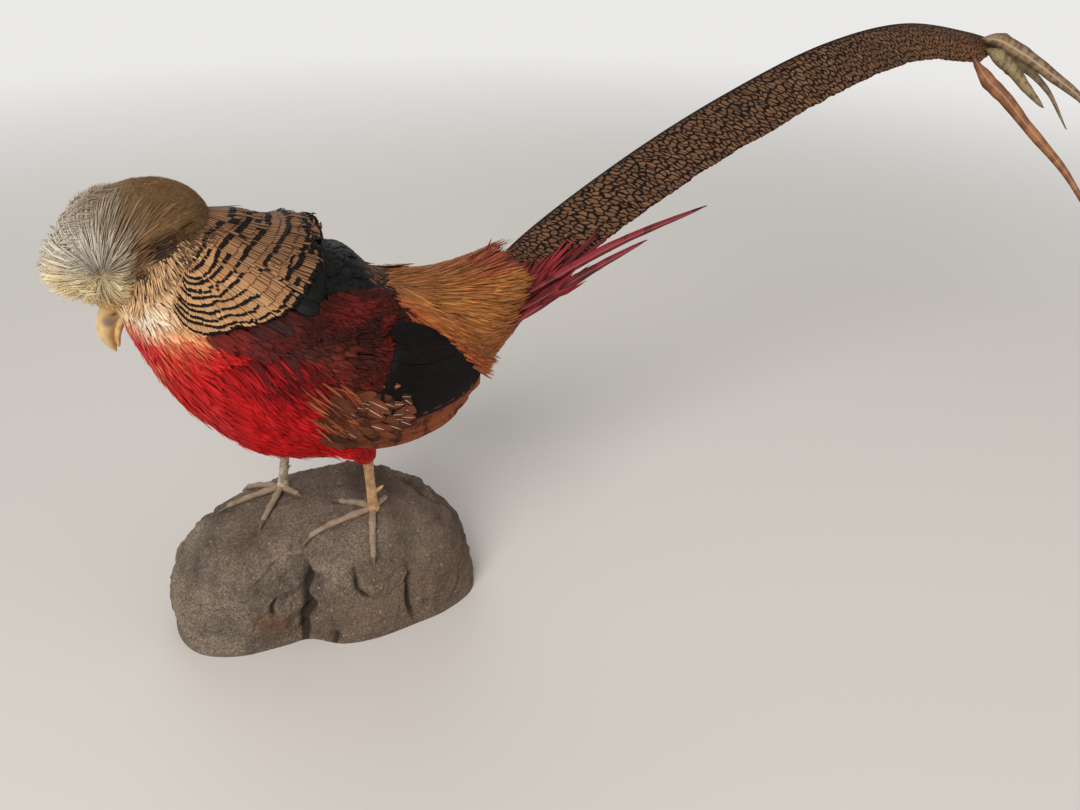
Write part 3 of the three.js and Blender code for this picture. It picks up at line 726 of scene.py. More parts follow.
def grid_value(table, x, y):
    """A table's value between its cells, blended from the four around; straight on past its edges."""
    i = np.clip(np.floor(x).astype(int), 0, table.shape[0] - 2)
    j = np.clip(np.floor(y).astype(int), 0, table.shape[1] - 2)
    a, b = x - i, y - j
    near, far = (table[i, k] * (1 - a) + table[i + 1, k] * a for k in (j, j + 1))
    return near * (1 - b) + far * b


ROOTS = []  # where every feather grows, and its colour, from which the skin takes its own


class Coat:
    """Feathers gathered into one piece: their points, colours, tints and places on the skin's unwrap."""

    def __init__(self, seed):
        self.rng = np.random.default_rng(seed)
        self.parts = []

    def between(self, reach, count):
        """A number drawn for each feather from a (low, high) range, or the one number given for all."""
        return self.rng.uniform(*reach, count) if isinstance(reach, tuple) else reach

    def grow(self, surface, roots, heading, stray, lengths, widths, low, high, form, thick=0.3, cut=1, lift=0, **bend):
        """
        Feathers laid on a surface, straying from their heading, with lengths and widths from ranges
        times their cut, and rises from the low range to the high one plus their lift.
        """
        count = len(roots[0])
        heading = heading + self.rng.normal(0, stray, count)
        length, width = self.between(lengths, count) * cut, self.between(widths, count)
        rise = self.between(low, count), lift + self.between(high, count)
        return lay(surface, roots, heading, length, width, rise, form, thick, **bend)

    def add(self, points, form, colour, place, kind=0.0, mirrored=False):
        """Adds feathers (one row of points each) with a colour each, and a place from 0 to 1 each way."""
        count = len(points)
        tint = self.rng.random(count)
        colour = np.broadcast_to(np.asarray(colour, float), (count, 3))
        kind = np.broadcast_to(kind, count)
        place = 0.004 + 0.992 * np.clip(np.stack(place, -1), 0, 1)
        spread = np.stack([form.across * 0.0015, (form.u - 0.5) * 0.003], -1)
        sides = ((1, place), (mirror, place * [-1, 1] + [1, 0])) if mirrored else ((1, place),)
        for flip, own in sides:
            self.parts.append((points * flip, form, colour, tint, own[:, None] + spread, kind))

    def build(self, name, material, slot, replaced=()):
        """Joins everything that was added into one piece, its triangles turned outwards."""
        rows = []
        start = 0
        for own, form, colour, tint, place, kind in self.parts:
            count, size = own.shape[:2]
            faces = form.triangles[None] + size * np.arange(count)[:, None, None] + start
            corners = own[:, form.triangles] - own[:, None, None, 0]
            volume = np.einsum("nij,nij->n", corners[:, :, 0], np.cross(corners[:, :, 1], corners[:, :, 2]))
            faces[volume < 0] = faces[volume < 0][:, :, ::-1]
            start += count * size
            full = np.concatenate([colour, np.ones((count, 1))], axis=1)
            shared = np.tile(form.u, count), np.tile(form.across, count)
            single = (np.repeat(value, size, axis=0) for value in (tint, kind, full))
            rows.append((own.reshape(-1, 3), faces.reshape(-1, 3), place.reshape(-1, 2), *shared, *single))
            ROOTS.append((own[:, 0], colour))
        points, triangles, uv, along, across, tint, kind, plumage = map(np.concatenate, zip(*rows))
        new_piece(
            name, points, triangles, material, slot, replaced, uv,
            along=along, across=across, tint=tint, kind=kind, plumage=plumage,
        )


def tone(*display):
    """A feather colour from display values."""
    return np.array(linear(*display)[:3])


def dyed(colour, *coats):
    """Feather colours with others blended over them in turn, each given as its share and its colour."""
    for share, other in coats:
        share = np.asarray(share, float)[..., None]
        colour = colour * (1 - share) + other * share
    return colour


def plumage(tree):
    """The feather's own colour."""
    return attribute(tree, "plumage", "Color")


def barbs_group():
    """
    The look that all feathers share: each is tinted a little differently, darker at its root as painted
    shade under the neighbours that overlap it, with fine slanting barbs and hair-like streaks along it,
    and its relief follows them.
    """
    tree = bpy.data.node_groups.new("feather barbs", "ShaderNodeTree")
    tree.interface.new_socket("Colour", in_out="INPUT", socket_type="NodeSocketColor")
    for name in ("Root shade", "Tint range", "Barbs", "Streaks"):
        tree.interface.new_socket(name, in_out="INPUT", socket_type="NodeSocketFloat")
    tree.interface.new_socket("Colour", in_out="OUTPUT", socket_type="NodeSocketColor")
    tree.interface.new_socket("Height", in_out="OUTPUT", socket_type="NodeSocketFloat")
    given = tree.nodes.new("NodeGroupInput").outputs
    result = tree.nodes.new("NodeGroupOutput").inputs
    along, across, tint = (attribute(tree, name) for name in ("along", "across", "tint"))
    bright = scaled(tree, calc(tree, "SUBTRACT", tint, 0.5), given["Tint range"], 1.0)
    # Darker towards the root: painted shade where the neighbours overlap it.
    shade = times(tree, ramp(tree, along, (0.1, 1.0), (0.75, 0.0)), given["Root shade"])
    root = calc(tree, "SUBTRACT", 1.0, shade)
    slant = scaled(tree, calc(tree, "ABSOLUTE", across), 9.0, times(tree, along, -34.0))
    wave = calc(tree, "SINE", times(tree, slant, 6.2832))
    barb = scaled(tree, times(tree, wave, given["Barbs"]), 0.5, 1.0)
    axes = {0: times(tree, across, 2.6), 1: times(tree, along, 1.4), 2: times(tree, tint, 91.0)}
    place = node(tree, "CombineXYZ", axes).outputs[0]
    hair = ramp(tree, clouds(tree, 1.6, place=place), (0.3, 0.0), (0.7, 1.0))
    streak = scaled(tree, calc(tree, "SUBTRACT", hair, 0.5), given["Streaks"], 1.0)
    level = times(tree, times(tree, bright, root), times(tree, barb, streak))
    shaded = node(tree, "VectorMath", {0: given["Colour"], "Scale": level}, operation="SCALE").outputs[0]
    feed(tree, result["Colour"], shaded)
    feed(tree, result["Height"], scaled(tree, wave, given["Barbs"], times(tree, hair, given["Streaks"])))
    return tree


BARBS = barbs_group()


def barbed(tree, colour, shades, roughness, depth=0.0001):
    """What a build returns for the shared feather look on a colour: shades of root, tint, barbs and streaks."""
    inputs = dict(zip(("Colour", "Root shade", "Tint range", "Barbs", "Streaks"), (colour, *shades)))
    made = node(tree, "Group", inputs, node_tree=BARBS).outputs
    return made["Colour"], roughness, made["Height"], depth


def combed(*look):
    """A build for plumage of the feather's own colour."""
    return lambda tree: barbed(tree, plumage(tree), *look)


SOFT = finish(
    "soft plumage", combed((0.18, 0.22, 0.05, 0.5), 0.6, 0.00015),
    Sheen_Weight=0.04, Sheen_Roughness=0.4, Specular_IOR_Level=0.18,
)
SILK = finish("silky plumage", combed((0.12, 0.2, 0.0, 0.35), 0.55), Sheen_Weight=0.05, Specular_IOR_Level=0.2)


def on_body(t, turn):
    """A root's place on the unwrap of the body: round it one way and along it the other."""
    return (turn / (2 * np.pi) + 0.5) % 1, t


# ---- Crest and nape ----
# A dishevelled mop of silky hair-like feathers that grows from the forehead, parts in a whorl on
# each side and stands out round the face, and the smooth olive dome that falls back over the nape.

def comb(roots, away, length, width, rise, form, swerve, power=1.3):
    """
    Strands on the mop: each leaves its root direction along a great circle, swerving from the way
    given by an angle, and rises from the root's lift to the tip's.
    """
    way = away * np.cos(swerve)[:, None] + np.cross(roots, away) * np.sin(swerve)[:, None]
    side = np.cross(roots, way)
    reach = np.linalg.norm(mop(roots) - MOP_CENTRE, axis=-1, keepdims=True)
    turn = (form.u * column(length) / reach)[..., None]
    out = roots[:, None] * np.cos(turn) + way[:, None] * np.sin(turn)
    out = unit(out + side[:, None] * (form.v * column(width) / 2 / reach)[..., None])
    low, high = rise
    lift = column(low) + (column(high) - column(low)) * form.u ** column(power) + form.h * 0.2
    return mop(out, lift)


def around(count, seed):
    """Directions spread evenly over the sphere, as a golden spiral with a little scatter."""
    rng = np.random.default_rng(seed)
    k = np.arange(count) + 0.5
    z = 1 - 2 * k / count
    a = k * np.pi * (1 + 5**0.5)
    level = np.stack([np.sqrt(1 - z * z) * np.cos(a), np.sqrt(1 - z * z) * np.sin(a), z], -1)
    return unit(level + rng.normal(0, 0.03, level.shape))


def on_head(direction):
    """A root's place on the unwrap of the head: its bearing one way and its height the other."""
    return np.arctan2(direction[:, 1], -direction[:, 0]) / (2 * np.pi) + 0.5, np.arccos(direction[:, 2]) / np.pi


WHORL = unit(np.array([-0.66, -0.73, -0.2]))
NAPE_POLE = unit(np.array([-0.8, 0.0, 0.6]))
SILVER, STRAW, AMBER, OLIVE = tone(222, 214, 198), tone(255, 234, 186), tone(255, 206, 136), tone(132, 100, 62)
DOWN, EAR, GREY = tone(92, 74, 60), tone(62, 42, 32), tone(176, 156, 132)
EAR_SPOT = np.array([-48.0, -26.0, 295.0])


def from_pole(roots, pole):
    """The way straight away from a pole, along the sphere."""
    return unit(roots * (roots * pole).sum(-1, keepdims=True) - pole)


def lie(roots):
    """
    Which way the crest lies at each root: away from the whorl of its own side, turning over the crown
    to fall back from the forehead, and never across the middle line. Also how near the whorl is.
    """
    whorl = np.where(roots[:, 1:2] < 0, WHORL, WHORL * mirror)
    back = ease(roots[:, 0] * 0.8 + roots[:, 2] * 0.35, 0.0, 0.62)[:, None]
    way = from_pole(roots, whorl) * (1 - back) + from_pole(roots, NAPE_POLE) * back
    way = way * (1 - np.array([0, 0.9, 0]) * np.exp(-((roots[:, 1:2] / 0.22) ** 2)))
    return unit(way - roots * (way * roots).sum(-1, keepdims=True)), (roots * whorl).sum(-1)


hairs = {-1: Coat(111), 1: Coat(112)}  # by side
plumes = Coat(11)
rng = plumes.rng
for amount, seed, form, widths, lengths, (low, high, most), stiff in (
    (4400, 12, LONG_LOCK, (1.1, 2.2), (26, 42), (-3.8, -1.2, 0.1), 0.035),
    (12500, 13, LONG_STRAND, (0.38, 0.68), (26, 44), (-3.0, -0.5, 0.7), 0.06),
):
    roots = around(amount, seed)
    away, near_whorl = lie(roots)
    length = rng.uniform(*lengths, amount) * (0.45 + 0.55 * ease(1 - near_whorl, 0.0, 0.12))
    tips = unit(roots * np.cos(length / 32)[:, None] + away * np.sin(length / 32)[:, None])
    left, left_tips = on_left(roots), on_left(tips)
    length = length * (1 - 0.6 * ease(np.maximum(left_tips @ CHEEK, left @ CHEEK), 0.78, 0.92))
    length = length * (1 - 0.5 * ease(left_tips @ EAR_WAY, 0.88, 0.95))
    kept = (roots @ [0.75, 0, -0.15] < 0.3) & (roots @ unit(np.array([0.35, 0, -1.0])) < 0.6)
    kept &= (left @ CHEEK < 0.89) & (left @ EAR_WAY < 0.93)
    roots, away, near_whorl, length, tips = (own[kept] for own in (roots, away, near_whorl, length, tips))
    count = len(roots)
    tuft = 0.5 + 0.5 * noise(roots, 0.16, 17)
    fringe = ease(-tips[:, 0] - 0.25 * tips[:, 2], 0.72, 1.0)
    crown = ease(tips[:, 2], 0.72, 0.92) * (1 - ease(tips[:, 0], -0.3, 0.0))
    width = rng.uniform(*widths, count)
    rise = rng.uniform(high, most, count) + 0.9 * tuft
    rise = rise + np.maximum(fringe, 0.7 * crown) * (5.5 * tuft + 1.5 * rng.random(count))
    swerve = 0.20 * noise(roots, 0.3, 18) + 0.16 * noise(roots, 0.11, 16) + rng.normal(0, stiff, count)
    points = comb(roots, away, length, width, (low, rise), form, swerve, power=1.2 + np.maximum(fringe, crown))
    upper = ease(tips[:, 2], -0.3, 0.3)
    far_back = tips[:, 0] + 0.4 * tips[:, 2] + rng.normal(0, 0.09, count)
    colour = dyed(
        STRAW, (upper, SILVER), (0.8 * ease(far_back, -0.6, 0.1), GREY), (ease(far_back, -0.15, 0.7), OLIVE),
        (0.9 * ease(-roots[:, 2], 0.3, 0.56) * ease(-roots[:, 0], -0.3, 0.3), AMBER),
        (0.5 * ease(near_whorl, 0.985, 0.999) + 0.3 * (noise(roots, 0.08, 19) > 0.4) * upper, DOWN),
    )
    if form is LONG_LOCK:
        plumes.add(points, form, colour, on_head(roots))
    else:
        for side, coat in hairs.items():
            own = (roots[:, 1] >= 0) == (side > 0)
            coat.add(points[own], form, colour[own], on_head(roots[own]))
plumes.build("crest_plumes", SILK, "crest_feathers")
hairs[-1].build("crest_hairs_left", SILK, "crest_feathers")
hairs[1].build("crest_hairs_right", SILK, "crest_feathers")

nape = Coat(13)
rng = nape.rng
for amount, seed, form, widths, lengths in (
    (3000, 14, LONG_LOCK, (1.1, 2.2), (15, 25)), (4200, 15, STRAND, (0.38, 0.7), (16, 24)),
):
    roots = around(amount, seed)
    kept = (roots @ [0.9, 0, 0.2] > -0.02) & (roots[:, 2] > -0.66) & (on_left(roots) @ CHEEK < 0.86)
    roots = roots[kept]
    count = len(roots)
    length, width = rng.uniform(*lengths, count), rng.uniform(*widths, count)
    rise = rng.uniform(-3, -1.5, count), rng.uniform(-0.5, 0.3, count)
    swerve = 0.2 * noise(roots, 0.3, 18) + 0.12 * noise(roots, 0.11, 16) + rng.normal(0, 0.05, count)
    points = comb(roots, lie(roots)[0], length, width, rise, form, swerve)
    gap = np.linalg.norm(on_left(points.mean(axis=1)) - EAR_SPOT, axis=1) + rng.normal(0, 1.0, count)
    colour = dyed(
        OLIVE, (ease(roots[:, 0] + 0.3 * roots[:, 2], 0.2, 0.8), tone(98, 68, 42)),
        (0.8 * ease(-roots[:, 2], 0.0, 0.5), tone(176, 136, 92)), (ease(-gap, -14, -9), EAR),
    )
    nape.add(points, form, colour, on_head(roots))
nape.build("nape_plumes", SILK, "crest_feathers")


# ---- Face and throat ----
# Short tan feathers that sweep back over the cheeks round a dark hollow at the ear, paler at the
# throat, where they give way to orange and then to the scarlet of the breast.

BUFF, TAN, PALE_THROAT = tone(240, 200, 150), tone(188, 146, 102), tone(240, 222, 198)
SCARLET, ORANGE = tone(206, 30, 30), tone(238, 168, 110)
EYE_SPOT, GAPE = np.array([-64.0, -18.0, 283.0]), np.array([-76.0, -16.0, 266.0])


def near(places, spot, size, stretch=1.0, power=2):
    """How near places are to a spot: a bell curve of the distance, stretched along the axes."""
    return np.exp(-((np.linalg.norm((places - spot) * stretch, axis=-1) / size) ** power))


def throat(left, stray):
    """
    The colour of the face and throat at a place on the left: tan above, buff below the eye, orange and
    then scarlet down the throat, with a whitish patch behind the gape. A stray shifts it up or down.
    """
    level = left[:, 2] + stray
    return dyed(
        BUFF, (ease(level, 272, 290), TAN), (ease(-level, -264, -250), ORANGE),
        (ease(-(left[:, 2] + 0.3 * (left[:, 0] + 60) + stray), -255, -243), SCARLET),
        (near(left, [-69, -25, 262], 8.2, [0.7, 0.4, 0.9]), PALE_THROAT),
    )


face = Coat(15)
rng = face.rng
for amount, seed, form, widths, lengths in (
    (2300, 16, LOCK, (0.8, 1.6), (6, 11)), (1700, 17, STRAND, (0.35, 0.6), (7, 12)),
):
    roots = scatter(head, amount, (0.05, 0.97), (-np.pi, np.pi), seed)
    eye_gap = np.linalg.norm((on_left(head(*roots)) - EYE_SPOT) * [1, 0.3, 1], axis=1)
    kept = eye_gap > 4.6
    roots, small = (roots[0][kept], roots[1][kept]), ease(eye_gap[kept], 5, 16)
    count = len(small)
    heading = rng.normal(0, 0.2, count)
    length = rng.uniform(*lengths, count) * (0.55 + 0.45 * small)
    width = rng.uniform(*widths, count) * (0.6 + 0.4 * small)
    points = lay(head, roots, heading, length, width, (-1.0, rng.uniform(0.1, 0.8, count)), form, 0.2)
    left = on_left(points.mean(axis=1))
    ear_gap = np.linalg.norm((left - EAR_SPOT) * [1, 0.4, 1], axis=1)
    colour = dyed(
        throat(left, rng.normal(0, 1.5, count)), (0.85 * near(left, GAPE, 6.5), tone(150, 78, 42)),
        (0.95 * ease(-ear_gap, -12, -8), EAR),
    )
    face.add(points, form, colour, on_body(*roots))

for amount, seed, form, widths, lengths in (
    (1150, 18, LOCK, (1.2, 2.2), (9, 15)), (1000, 19, STRAND, (0.4, 0.7), (10, 15)),
):
    roots = scatter(body, amount, (-0.05, 0.13), (0.27 * np.pi, 1.73 * np.pi), seed)
    points = face.grow(body, roots, 0, 0.16, lengths, widths, -1.0, (0.3, 1.2), form, 0.2)
    colour = throat(on_left(points.mean(axis=1)), rng.normal(0, 2.0, len(points)))
    face.add(points, form, colour, on_body(*roots))
face.build("face_feathers", SILK, "face_feathers")


# ---- Cape ----
# Rows of broad square-ended feathers fan from the nape and the ears over the neck like a ruff. Each is
# split into strips, buff-orange with a black bar across its end, and the rows make dark arcs.

def coat_depth(t, turn):
    """How far the coat of cape, mantle and saddle feathers stands off the body."""
    s = t * 20
    a = np.abs((turn + np.pi) % (2 * np.pi) - np.pi) / np.radians(18)
    cape = 13 * ease(s, -2, 2) * (1 - 0.55 * ease(s, 6, 8)) * (1 - ease(a, 3, 5)) * (1 - ease(s, 7.6, 9.2))
    mantle = 2.6 * (1 - ease(a, 1.5, 3.5)) * ease(s, 7.6, 9.2) * (1 - ease(s, 11, 13))
    saddle = 4 * ease(s, 12, 16) * (1 - 0.5 * ease(a, 5, 7)) * (1 - ease(a, 7, 8))
    return 1 + cape + mantle + saddle


def plume(t, turn, lift=0.0):
    """The outside of the body's plumage."""
    return body(t, turn, coat_depth(t, turn) + lift)


def dot(first, second):
    """The products of vectors, row by row."""
    return (first * second).sum(-1)


def ruff(starts, swing, reach, steps=40):
    """
    The plumage again, measured by straight lines that run out over it from a row of starts (its two
    measures). Each line leaves square to the row, backwards, swung round by its own angle. The first
    new measure goes from 0 to 1 along each line's reach, the second from -1 to 1 along the row.
    """
    t, turn = (np.array(a, float) for a in starts)
    table, way = [np.stack([t, turn], -1)], None
    for _ in range(steps):
        h = 1e-3
        back = (plume(t + h, turn) - plume(t - h, turn)) / (2 * h)
        down = (plume(t, turn + h) - plume(t, turn - h)) / (2 * h)
        out = unit(np.cross(back, down))
        if way is None:
            row = unit(down)
            square = unit(back - row * dot(back, row)[:, None])
            way = square * np.cos(swing)[:, None] + row * np.sin(swing)[:, None]
        way = unit(way - out * dot(way, out)[:, None])
        stride = way * (reach / steps)[:, None]
        bb, bd, dd = dot(back, back), dot(back, down), dot(down, down)
        sb, sd = dot(stride, back), dot(stride, down)
        det = bb * dd - bd * bd
        t = t + (sb * dd - sd * bd) / det
        turn = turn + (sd * bb - sb * bd) / det
        table.append(np.stack([t, turn], -1))
    table = np.array(table)

    def at(share, row, lift=0.0):
        share, row, lift = np.broadcast_arrays(np.asarray(share, float), row, lift)
        x, y = share * steps, (row + 1) / 2 * (table.shape[1] - 1)
        return plume(grid_value(table[..., 0], x, y), grid_value(table[..., 1], x, y), lift)

    return at


RUFF_ENDS = 0.5  # the share of the row, from its middle, that crosses the nape; the rest fans from the ears
RUFF_SWING = np.radians(68)
EAR_TURN = 1.04
RUFF_REACH = [0, 0.15, 0.3, 0.42, 0.5, 0.57, 0.673, 0.846, 1], [54, 60, 67, 61, 52, 45, 42, 37, 27]
row = np.linspace(-1, 1, 241)
wide = np.abs(row)
past = np.clip((wide - RUFF_ENDS) / (1 - RUFF_ENDS), 0, 1)
cape_form = ruff(
    (-0.02 - 0.026 * np.exp(-(((wide - 0.3) / 0.15) ** 2)), np.sign(row) * EAR_TURN * np.minimum(wide / RUFF_ENDS, 1)),
    np.sign(row) * past * RUFF_SWING, np.interp(wide, *RUFF_REACH),
)
CAPE_BUFF, CAPE_TAN, CAPE_ORANGE = tone(204, 156, 108), tone(104, 68, 45), tone(168, 106, 62)
CAPE_ROWS = 11
STRIP_GAP = 1.35
cape = Coat(21)
rng = cape.rng
for line in range(CAPE_ROWS):
    place = ((line + 0.6) / (CAPE_ROWS - 0.4)) ** 1.05
    arc = cape_form(np.full(200, place), np.linspace(-1, 1, 200))
    steps = np.concatenate([[0], np.cumsum(np.linalg.norm(np.diff(arc, axis=0), axis=1))])
    strips = int(steps[-1] / STRIP_GAP)
    row = np.interp(np.linspace(0, steps[-1], strips), steps, np.linspace(-1, 1, 200))
    wide = np.abs(row)
    feather = np.searchsorted(np.cumsum(rng.integers(3, 7, strips)), np.arange(strips), side="right")
    own = feather.max() + 1
    reach = np.interp(wide, *RUFF_REACH)
    top = 1 - ease(wide, 0.15, 0.5)
    wave = 0.9 * noise(np.stack([row * 9, np.full(strips, line * 3.0), 0 * row], -1), 1.0, 24)
    tip = place * reach + wave + rng.normal(0, 0.3, own)[feather] + rng.normal(0, 0.12, strips)
    fan = ease(wide, 0.47, 0.53)
    length = reach / CAPE_ROWS * 2.6 + 2
    length = length * (1 - fan) + np.minimum(length, 0.75 * tip) * fan
    loose = (rng.random(strips) < 0.05) * top
    heading = rng.normal(0, 0.02, strips) + rng.normal(0, 0.03, own)[feather]
    width, rise = rng.uniform(1.35, 1.75, strips), rng.uniform(0.9, 1.4, strips) + 2.0 * loose
    roots = (tip - length) / reach, row
    points = lay(cape_form, roots, heading, length + 4 * loose, width, (-1.2, rise), TILE, 0.25)
    colour = dyed(
        CAPE_BUFF, (0.7 * rng.random(own)[feather] * (1 - ease(wide, 0.45, 0.8)), CAPE_ORANGE),
        (np.clip(0.95 * top + 0.25 * rng.random(own)[feather], 0, 1), CAPE_TAN),
    )
    colour = colour * rng.uniform(0.8, 1.1, own)[feather][:, None]
    bar = 1.5 + 1.3 * top + 0.5 * rng.random(own)[feather]
    plain = np.where(line % 2, 0.9, 0.0) * (1 - ease(wide, 0.30, 0.42)) * (1 - ease(place, 0.8, 0.9))
    middle = ease(place, 0.5, 0.6) * (1 - ease(place, 0.82, 0.9))
    plain = plain + 0.95 * np.exp(-(((wide - 0.37) / 0.07) ** 4)) * middle
    bar = np.where(rng.random(own)[feather] < plain, -1.0, bar * (1 - 0.7 * ease(wide, 0.95, 1.0)))
    cape.add(points, TILE, colour, on_body(0.4 * place + 0 * row, row * 1.5), kind=1 - bar / length)

# Short buff feathers in front of the fan, and dark ones where the cape comes out from under the dome of
# the nape.
NO_BAR = 2.0
t, turn = rng.uniform(-0.10, 0.05, 700), rng.uniform(0.80, 1.75, 700)
kept = np.abs(t + 0.058 - 0.02 * (turn - 1.2)) < 0.03
t, turn = t[kept], turn[kept]
points = cape.grow(plume, (t, turn), 0.7 * turn - 0.33, 0.12, (6, 11), (0.5, 1.2), -0.5, (1.2, 2.0), LOCK, 0.2)
colour = dyed(BUFF, (rng.random(len(t)), TAN))
cape.add(points, LOCK, colour, on_body(t, turn), NO_BAR, mirrored=True)
t, turn = rng.uniform(-0.085, -0.035, 280), rng.uniform(0.5, 1.05, 280)
points = cape.grow(plume, (t, turn), 0.2, 0.12, (5, 9), (0.7, 1.5), -0.5, (1.2, 2.0), LOCK, 0.2)
colour = dyed(tone(28, 20, 16), (rng.random(len(t)), CAPE_TAN))
cape.add(points, LOCK, colour, on_body(t, turn), NO_BAR, mirrored=True)


def barred(tree):
    """Buff vanes with a black bar across the end, a paler shaft, and a thin dark edge to each strip."""
    wobble = calc(tree, "SUBTRACT", clouds(tree, 320.0), 0.5)
    edge = scaled(tree, wobble, 0.07, attribute(tree, "along"))
    bar = ramp(tree, calc(tree, "SUBTRACT", edge, attribute(tree, "kind")), (0.0, 0.0), (0.025, 1.0))
    across = calc(tree, "ABSOLUTE", attribute(tree, "across"))
    colour = layers(
        tree, plumage(tree), (ramp(tree, across, (0.7, 0.0), (1.0, 0.45)), linear(82, 50, 32)),
        (ramp(tree, across, (0.0, 0.4), (0.3, 0.0)), linear(226, 190, 146)), (bar, linear(18, 14, 13)),
    )
    return barbed(tree, colour, (0.25, 0.2, 0.08, 0.0), 0.58)


cape.build("cape_feathers", finish("barred vanes", barred, Specular_IOR_Level=0.12), "cape_feathers")


# ---- Mantle ----
# Rounded scale-like feathers across the upper back, blackish with a velvet edge.

def even(surface, first, last, turns):
    """
    The same surface with its first measure running evenly, by length, from 0 on one line across it
    to 1 on another. Each line gives the first measure for each turn.
    """
    turn = np.linspace(*turns, 81)
    shares = np.linspace(0, 1, 121)
    t = first(turn)[:, None] + (last(turn) - first(turn))[:, None] * shares
    steps = np.linalg.norm(np.diff(surface(t, turn[:, None], 0), axis=1), axis=-1)
    run = np.concatenate([np.zeros((81, 1)), np.cumsum(steps, axis=1)], axis=1)
    table = np.array([np.interp(shares, own / own[-1], places) for own, places in zip(run, t)])

    def at(share, turn, lift=0.0):
        share, turn, lift = np.broadcast_arrays(np.asarray(share, float), turn, lift)
        own = grid_value(table, (turn - turns[0]) / (turns[1] - turns[0]) * 80, share * 120)
        return surface(own, turn, lift)

    return at


mantle_form = even(
    plume,
    lambda turn: np.interp(np.abs(turn), [0, 0.3, 0.6, 1, 1.25], [0.40, 0.35, 0.30, 0.26, 0.23]),
    lambda turn: np.interp(np.abs(turn), [0, 0.5, 1.0, 1.3], [0.66, 0.62, 0.5, 0.42]),
    (-1.4, 1.4),
)
MANTLE_EDGE = 1.09
mantle = Coat(23)
rng = mantle.rng
for row in range(11):
    count = 25 - row % 2
    turn = np.linspace(-MANTLE_EDGE, MANTLE_EDGE, count) + rng.normal(0, 0.02, count)
    a = 0.1 * row - 0.14 + rng.normal(0, 0.02, count)
    points = mantle.grow(mantle_form, (a, turn), 0, 0.10, (14, 18), (8, 11), -1.0, (0.3, 0.7), ROUND, 0.25)
    colour = dyed(tone(14, 13, 12), (rng.random(count) * 0.8, tone(15, 20, 18)))
    mantle.add(points, ROUND, colour, on_body(0.4 + 0.2 * np.clip(a, 0, 1), turn))


def glossy(tree):
    """Blackish vanes with a velvet edge."""
    edge = ramp(tree, calc(tree, "ABSOLUTE", attribute(tree, "across")), (0.55, 0.0), (0.95, 1.0))
    rim = calc(tree, "MAXIMUM", edge, ramp(tree, attribute(tree, "along"), (0.8, 0.0), (0.97, 1.0)))
    colour = mix(tree, times(tree, rim, 0.75), plumage(tree), linear(12, 12, 13))
    return barbed(tree, colour, (0.2, 0.4, 0.2, 0.3), 0.5)


mantle.build("mantle_feathers", finish("glossy dark vanes", glossy, Specular_IOR_Level=0.15), "mantle_feathers")


# ---- Breast and belly ----
# Dense hair-like scarlet feathers that sweep down and back from the throat to the vent, with darker
# maroon streaks among them, and shorter ones down the shanks.

MAROON, DEEP = tone(122, 20, 24), tone(176, 18, 24)
breast = Coat(31)
rng = breast.rng
for amount, seed, form, widths, lengths, most in (
    (3500, 32, LOCK, (1.7, 3.4), (14, 22), 1.1), (2000, 33, STRAND, (0.45, 0.8), (15, 24), 2.4),
):
    t, turn = scatter(body, amount, (0.05, 0.93), (0.34 * np.pi, 1.66 * np.pi), seed)
    count = len(t)
    points = breast.grow(body, (t, turn), -0.18 * np.sin(turn), 0.12, lengths, widths, -1.4, (0.3, most), form, 0.4)
    colour = dyed(
        SCARLET, (np.clip(ease(t, 0.25, 0.65) + rng.normal(0, 0.25, count), 0, 1), DEEP),
        (0.6 * (rng.random(count) < 0.05 + 0.25 * ease(t, 0.5, 0.8)), MAROON),
        (0.5 * (1 - ease(t, 0.05, 0.13)), ORANGE), (0.8 * ease(t, 0.72, 0.85), tone(112, 46, 26)),
    )
    breast.add(points, form, colour, on_body(t, turn))
breast.build("breast_feathers", SOFT, "breast_feathers")

legs = Coat(33)
rng = legs.rng
for name, upper in shanks.items():
    for amount, seed, form, widths in ((360, 34, LOCK, (1.6, 3.0)), (220, 35, STRAND, (0.5, 0.9))):
        t, turn = scatter(upper, amount, (0.15, 0.97), (0, 2 * np.pi), seed)
        points = legs.grow(upper, (t, turn), 0, 0.18, (8, 13), widths, -1.0, (0.2, 1.0), form)
        colour = dyed(DEEP, (ease(t, 0.6, 0.98) * rng.uniform(0.4, 1, len(t)), tone(176, 100, 58)))
        place = turn / (2 * np.pi) * 0.45 + (0.5 if name == "left" else 0.02), t
        legs.add(points, form, colour, place)
legs.build("shank_feathers", SOFT, "breast_feathers")


# ---- Wings ----
# The folded wings lie flat on the flanks: soft maroon scapulars over a broad fan of blue-black
# tertials, brown coverts with white shafts, and rufous flight feathers along the lower edge.

SIDE_STEP = 3.0
SIDE_LOW, SIDE_HIGH = np.array([-75.0, 120.0]), np.array([175.0, 300.0])
SIDE_GUESS = 20.0  # where nothing stands, before the neighbours' depths spread into it
wing_edge = sweep(
    [(18, -56, 171, 4, 10, 14), (48, -57, 164, 5, 12, 14), (80, -55, 165, 5, 13, 14), (106, -51, 174, 4, 12, 14),
     (124, -47, 186, 3, 8, 12)]
)


def around_sum(level):
    """The sum of the four neighbours of each cell, the edge's repeated beyond it."""
    padded = np.pad(level, 1, mode="edge")
    return padded[2:, 1:-1] + padded[:-2, 1:-1] + padded[1:-1, 2:] + padded[1:-1, :-2]


